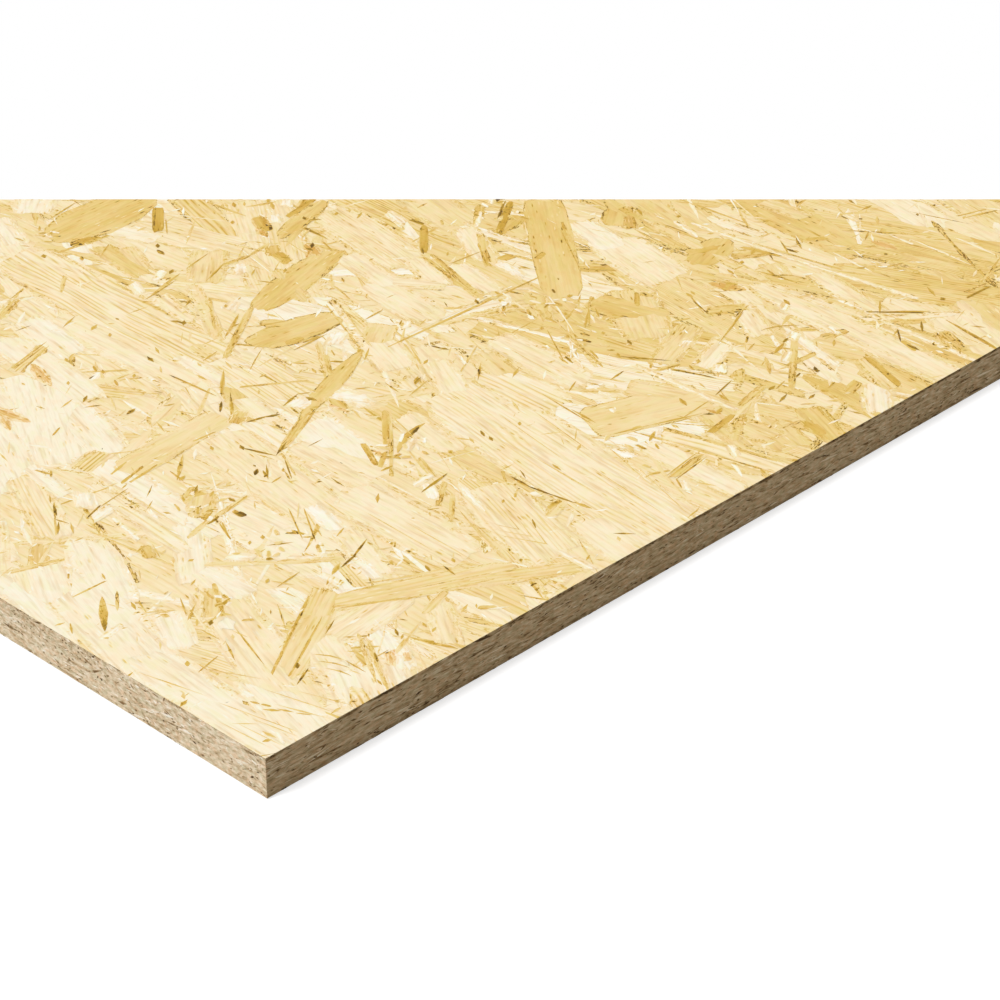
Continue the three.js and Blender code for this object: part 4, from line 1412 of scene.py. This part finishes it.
@dataclass
class StrandFace:
    """One side of the sheet: its bed of fines, its strands, and the tiles they are meshed in."""

    side: Side
    kinds: tuple[Kind, ...]
    finish: StrandFinish
    tiles: tuple[int, int]  # how many pieces the mesh is split in, along and up
    bed: float  # depth of the bed under the side's plane, millimetres
    seed: int
    inset: float = 0.0  # how far inside the sheet's edges the strands are sawn, millimetres
    lays: tuple[Lay, ...] = ()
    heaps: tuple[Heap, ...] = ()
    bed_tone: float = 0.36  # tone of the bed of fines
    drift: float = 0.0  # how much darker the light wood is inwards than at the side's first edge
    drift_width: float = 430.0  # millimetres
    drift_lean: float = 0.2  # millimetres inwards for each one away from the near end
    drift_reach: float = 400.0  # millimetres from the near end where it stops leaning

    def drifted(self, strands: Strands, own_tone: bool) -> None:
        """Darkens the strands' tones and the tones that their rims fade to inwards.

        Formula: with r from 0 to 1 over the drift's width, the rise is drift * r^2 (3 - 2 r), and the
        line where r starts leans inwards away from the near end. The strand's own tone takes
        1 - |tone - middle| / span of it, so that whites and browns stay.

        Args:
            strands: The strands, changed in place.
            own_tone: Whether their own tones drift too.
        """
        back = np.clip(self.side.size[0] - strands.centre[:, 0], 0, self.drift_reach)
        r = np.clip((strands.centre[:, 1] - self.drift_lean * back) / self.drift_width, 0, 1)
        rise = self.drift * r**2 * (3 - 2 * r)
        strands.ground = strands.ground + rise
        if own_tone:
            share = 1 - np.abs(strands.tone - DRIFT_TONE) / DRIFT_SPAN
            strands.tone = strands.tone + rise * np.clip(share, 0, 1)

    def strands(self) -> list[tuple[Form, Strands]]:
        """Draws and places every strand of the side, and ranks them by height.

        Returns:
            The strands by form.
        """
        rng = np.random.default_rng(self.seed)
        groups = [(k.form, scattered(k, self.side.size, rng)) for k in self.kinds]
        for _, strands in groups:
            self.drifted(strands, own_tone=True)
        if self.lays:
            placed = laid_strands(self.lays, self.side.size, rng)
            self.drifted(placed, own_tone=False)
            broad = placed.width > BROAD_WIDTH
            groups += [(BROAD, placed.pick(broad)), (NARROW, placed.pick(~broad))]
            crumbs = heaped(CRUMBS, self.heaps, self.side.size, rng)
            self.drifted(crumbs, own_tone=False)
            groups.append((CRUMBS.form, crumbs))
        level = np.concatenate([s.level for _, s in groups])
        rank = np.empty(len(level), int)
        rank[np.argsort(-level, kind="stable")] = 1 + np.arange(len(level))
        start = 0
        for _, strands in groups:
            strands.rank = rank[start : start + len(strands.rank)]
            start += len(strands.rank)
        return groups

    def bed_plate(self, low: np.ndarray, high: np.ndarray) -> Plates:
        """The flat bed of fines under one tile: two triangles that read as one very wide strand.

        Args:
            low: The tile's lowest corner, in millimetres.
            high: Its highest corner.

        Returns:
            The two triangles.
        """
        middle, size = (low + high) / 2, high - low
        corner = np.array([(-1, -1), (1, -1), (1, 1), (-1, 1)]) * size / 2
        points = np.zeros((len(corner), RIM.stop))
        points[:, 0:2] = middle + corner
        points[:, OUT] = -self.bed
        points[:, GRAIN] = np.c_[corner, np.full(len(corner), BED_SEED)]
        points[:, SPAN] = (BED_REACH, BED_REACH, 0.0)
        points[:, LOOK] = (self.bed_tone, BED_RING, BED_PITCH)
        return Plates(points[[[0, 1, 2], [0, 2, 3]]], np.zeros(2, int))

    def tile(self, groups: list[tuple[Form, Strands]], column: int, row: int) -> bpy.types.Object:
        """Meshes the strands of one tile, sawn off at the tile's and the sheet's ends.

        Args:
            groups: The side's strands by form.
            column: The tile's place along the side.
            row: Its place up the side.

        Returns:
            The tile's object.
        """
        size, count = np.array(self.side.size), np.array(self.tiles)
        low, high = size * (column, row) / count, size * (column + 1, row + 1) / count
        plates = Plates.joined([Plates.of(s.near(low, high), f) for f, s in groups])
        plates = Plates.joined([self.bed_plate(low, high), plates])
        for axis in (0, 1):
            first, last = low[axis] <= 0, high[axis] >= size[axis]
            plates = plates.sawn(axis, low[axis] + self.inset * first, -1, self.bed * first)
            plates = plates.sawn(axis, high[axis] - self.inset * last, 1, self.bed * last)
        plates = Plates.joined([plates])
        name = f"{self.side.name}_strands_{column + 1}_{row + 1}"
        return meshed(name, plates, self.side, (low, high))

    def build(self) -> list[bpy.types.Object]:
        """Builds and dresses the side's tiles.

        Returns:
            Their objects, column by column.
        """
        groups, material = self.strands(), self.finish.material()
        pieces = []
        for column in range(self.tiles[0]):
            for row in range(self.tiles[1]):
                piece = self.tile(groups, column, row)
                piece.data.materials.append(material)
                pieces.append(piece)
        return pieces


def meshed(
    name: str, plates: Plates, side: Side, area: tuple[np.ndarray, np.ndarray]
) -> bpy.types.Object:
    """Makes an object of plates, with the finish's attributes and a flat map of the area.

    Args:
        name: The object's name.
        plates: The triangles.
        side: The side that they lie on.
        area: The lowest and highest corner of what the map covers, in millimetres.

    Returns:
        The object.
    """
    points, faces = plates.welded()
    mesh = bpy.data.meshes.new(name)
    mesh.vertices.add(len(points))
    mesh.vertices.foreach_set("co", side.placed(points[:, PLACE]).astype(np.float32).ravel())
    mesh.loops.add(faces.size)
    mesh.loops.foreach_set("vertex_index", faces.astype(np.int32).ravel())
    mesh.polygons.add(len(faces))
    mesh.polygons.foreach_set("loop_start", np.arange(0, faces.size, 3, dtype=np.int32))
    mesh.polygons.foreach_set("use_smooth", np.zeros(len(faces), bool))
    mesh.update(calc_edges=True)
    for label, columns in (("grain", GRAIN), ("span", SPAN), ("look", LOOK), ("rim", RIM)):
        attribute = mesh.attributes.new(label, "FLOAT_VECTOR", "POINT")
        attribute.data.foreach_set("vector", points[:, columns].astype(np.float32).ravel())
    low, high = area
    flat = (points[:, 0:2] - low) / (high - low)
    layer = mesh.uv_layers.new(name=BAKE_MAP)
    layer.uv.foreach_set("vector", flat[faces.ravel()].astype(np.float32).ravel())
    obj = bpy.data.objects.new(name, mesh)
    bpy.context.scene.collection.objects.link(obj)
    return obj


SECTIONS = Kind(
    form=TINY,
    cut=Cut.LEAF,
    per_m2=60000,
    length=(2.5, 11),
    width=(0.6, 1.8),
    spread=10,
    stray=0.0,
    tones=((0.34, 0.22, 0.1), (0.36, 0.45, 0.12), (0.3, 0.64, 0.1)),
    edge=(0.0, 0.3),
    levels=(0.0, 0.1),
    ring=(0.0, 0.2),
    fray=0.2,
    bow=0.03,
)
PORES = Kind(
    form=TINY,
    cut=Cut.LEAF,
    per_m2=60000,
    length=(0.9, 3.2),
    width=(0.4, 1.1),
    spread=24,
    stray=0.0,
    tones=((0.65, 0.8, 0.1), (0.35, 0.14, 0.07)),
    edge=(0.0, 0.1),
    levels=(0.0, 0.04),
    fray=0.1,
)
END_SECTIONS = replace(
    SECTIONS,
    length=(4, 20),
    width=(0.5, 1.5),
    spread=4,
    tones=((0.33, 0.3, 0.1), (0.4, 0.5, 0.1), (0.27, 0.68, 0.09)),
)
END_PORES = replace(
    PORES,
    length=(1.2, 5),
    width=(0.4, 1.0),
    spread=9,
    tones=((0.65, 0.8, 0.1), (0.35, 0.2, 0.07)),
)
SIDE_KINDS = (SECTIONS, PORES)
END_KINDS = (END_SECTIONS, END_PORES)


@dataclass
class Studio:
    """The floor, the light and the camera."""

    corner: np.ndarray  # the sheet's near corner on the floor, metres
    top: float  # height of the sheet's face
    camera_offset: tuple[float, float, float] = (0.6774, -0.5749, 0.6494)  # metres from the corner
    azimuth: float = 44.15  # degrees round from looking along +Y
    elevation: float = 30.54  # degrees that it looks down
    picture_px: int = 1000  # width and height of the render
    focal_px: float = 2967.6  # the lens's focal length, in pixels of the render
    crop_row_px: float = 199.0  # the row of the render where the sight of the sheet ends
    sensor: float = 36.0  # millimetres
    floor_size: float = 14.0  # metres
    floor_drop: float = 0.0004  # how far the floor lies under the sheet, metres
    floor_grey: int = 180  # its display value
    floor_glow: float = 0.66  # how much light the camera sees it give
    key_strength: float = 2.6  # watts on a square metre
    key_toward: tuple[float, float, float] = (-0.12, -0.5, 0.65)  # the way from the sheet to the lamp
    key_softness: float = 14.0  # degrees that the lamp takes up
    ambient: float = 0.35  # strength of the sky's light on the sheet

    def sight_end(self) -> float:
        """How deep the camera sees: to the line on the face that the crop row shows.

        Formula: a ray through a row that lies rise = (half the picture - row) / focal length above
        the middle sinks by sin(elevation) - rise * cos(elevation) for each metre of depth.

        Returns:
            The depth in metres.
        """
        rise = (self.picture_px / 2 - self.crop_row_px) / self.focal_px
        tilt = math.radians(self.elevation)
        return (self.camera_offset[2] - self.top) / (math.sin(tilt) - rise * math.cos(tilt))

    def camera(self) -> bpy.types.Object:
        """Places the camera and makes it the scene's.

        Returns:
            The camera.
        """
        data = bpy.data.cameras.new("camera")
        data.sensor_width = self.sensor
        data.lens = self.sensor * self.focal_px / self.picture_px
        data.clip_end = self.sight_end()
        camera = bpy.data.objects.new("camera", data)
        camera.location = self.corner + np.array(self.camera_offset)
        turn = (math.radians(90 - self.elevation), 0.0, math.radians(self.azimuth))
        camera.rotation_euler = turn
        bpy.context.scene.collection.objects.link(camera)
        bpy.context.scene.camera = camera
        return camera

    def key(self) -> None:
        """One broad soft lamp, high on the left."""
        data = bpy.data.lights.new("key", "SUN")
        data.energy, data.angle = self.key_strength, math.radians(self.key_softness)
        lamp = bpy.data.objects.new("key", data)
        toward = np.array(self.key_toward) / np.linalg.norm(self.key_toward)
        lamp.rotation_euler = (math.acos(toward[2]), 0.0, math.atan2(toward[0], -toward[1]))
        bpy.context.scene.collection.objects.link(lamp)

    def world(self) -> None:
        """A soft even sky that the camera and reflections see as white."""
        world = bpy.data.worlds.new("studio")
        bpy.context.scene.world = world
        world.use_nodes = True
        nodes, links = world.node_tree.nodes, world.node_tree.links
        nodes.clear()
        sky, white = nodes.new("ShaderNodeBackground"), nodes.new("ShaderNodeBackground")
        sky.inputs["Strength"].default_value = self.ambient
        sky.inputs["Color"].default_value = WHITE
        white.inputs["Color"].default_value = WHITE
        path, mix = nodes.new("ShaderNodeLightPath"), nodes.new("ShaderNodeMixShader")
        seen = path.outputs["Is Camera Ray"]
        for ray in ("Is Glossy Ray", "Is Transmission Ray"):
            either = nodes.new("ShaderNodeMath")
            either.operation = "MAXIMUM"
            links.new(seen, either.inputs[0])
            links.new(path.outputs[ray], either.inputs[1])
            seen = either.outputs[0]
        links.new(seen, mix.inputs[0])
        links.new(sky.outputs[0], mix.inputs[1])
        links.new(white.outputs[0], mix.inputs[2])
        links.new(mix.outputs[0], nodes.new("ShaderNodeOutputWorld").inputs[0])

    def floor(self) -> bpy.types.Object:
        """Lays a plain pale floor that shows white and keeps the sheet's shadow.

        Returns:
            The floor.
        """
        half, low = self.floor_size / 2, -self.floor_drop
        mesh = bpy.data.meshes.new("floor")
        corners = [(-half, -half, low), (half, -half, low), (half, half, low), (-half, half, low)]
        mesh.from_pydata(corners, [], [(0, 1, 2, 3)])
        floor = bpy.data.objects.new("floor", mesh)
        bpy.context.scene.collection.objects.link(floor)
        g = Graph("studio_floor")
        path = g.add("LightPath")
        matt = g.add("BsdfDiffuse", {"Color": srgb(*(self.floor_grey,) * 3)})
        seen = g.times(path.outputs["Is Camera Ray"], self.floor_glow)
        glow = g.add("Emission", {"Color": WHITE, "Strength": seen})
        both = g.add("AddShader", {0: matt.outputs[0], 1: glow.outputs[0]})
        g.add("OutputMaterial", {0: both.outputs[0]})
        mesh.materials.append(g.material)
        return floor

    def build(self) -> None:
        """Sets up the whole studio."""
        bpy.context.scene.view_settings.view_transform = "Standard"
        self.camera()
        self.key()
        self.world()
        self.floor()


def main() -> None:
    """Builds the sheet side by side, then the studio round it."""
    logging.basicConfig(level=logging.INFO, format="%(message)s")
    low, high = (np.array(corner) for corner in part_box(BOARD_NODE))
    sides = sides_of(low, high)
    top = StrandFace(
        sides["top"], FACE_KINDS, FACE_FINISH, TILES, FACE_BED, SEED, INSET, LAID, HEAPS,
        drift=FACE_DRIFT,
    )
    hidden = tuple(replace(kind, per_m2=UNDERSIDE_SHARE * kind.per_m2) for kind in FACE_KINDS)
    under = replace(top, side=sides["underside"], kinds=hidden, seed=SEED + 1, lays=(), heaps=())
    parts = [top, under]
    edges = (
        ("long_edge_front", SIDE_KINDS, SIDE_FINISH, TILES[0]),
        ("end_edge_right", END_KINDS, END_FINISH, TILES[1]),
        ("long_edge_back", SIDE_KINDS, SIDE_FINISH, TILES[0]),
        ("end_edge_left", END_KINDS, END_FINISH, TILES[1]),
    )
    for seed, (name, kinds, finish, tiles) in enumerate(edges, SEED + 2):
        edge = StrandFace(
            sides[name], kinds, finish, (tiles, 1), EDGE_BED, seed, bed_tone=EDGE_BED_TONE
        )
        parts.append(edge)
    faces = 0
    for part in parts:
        for piece in part.build():
            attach(piece, BODY)
            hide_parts(BOARD_NODE)
            count = len(piece.data.polygons)
            faces += count
            log.info("%s: %d triangles", piece.name, count)
    log.info("the sheet: %d triangles", faces)
    Studio(np.array((high[0], low[1], low[2])), float(high[2])).build()


if __name__ == "__main__":
    main()
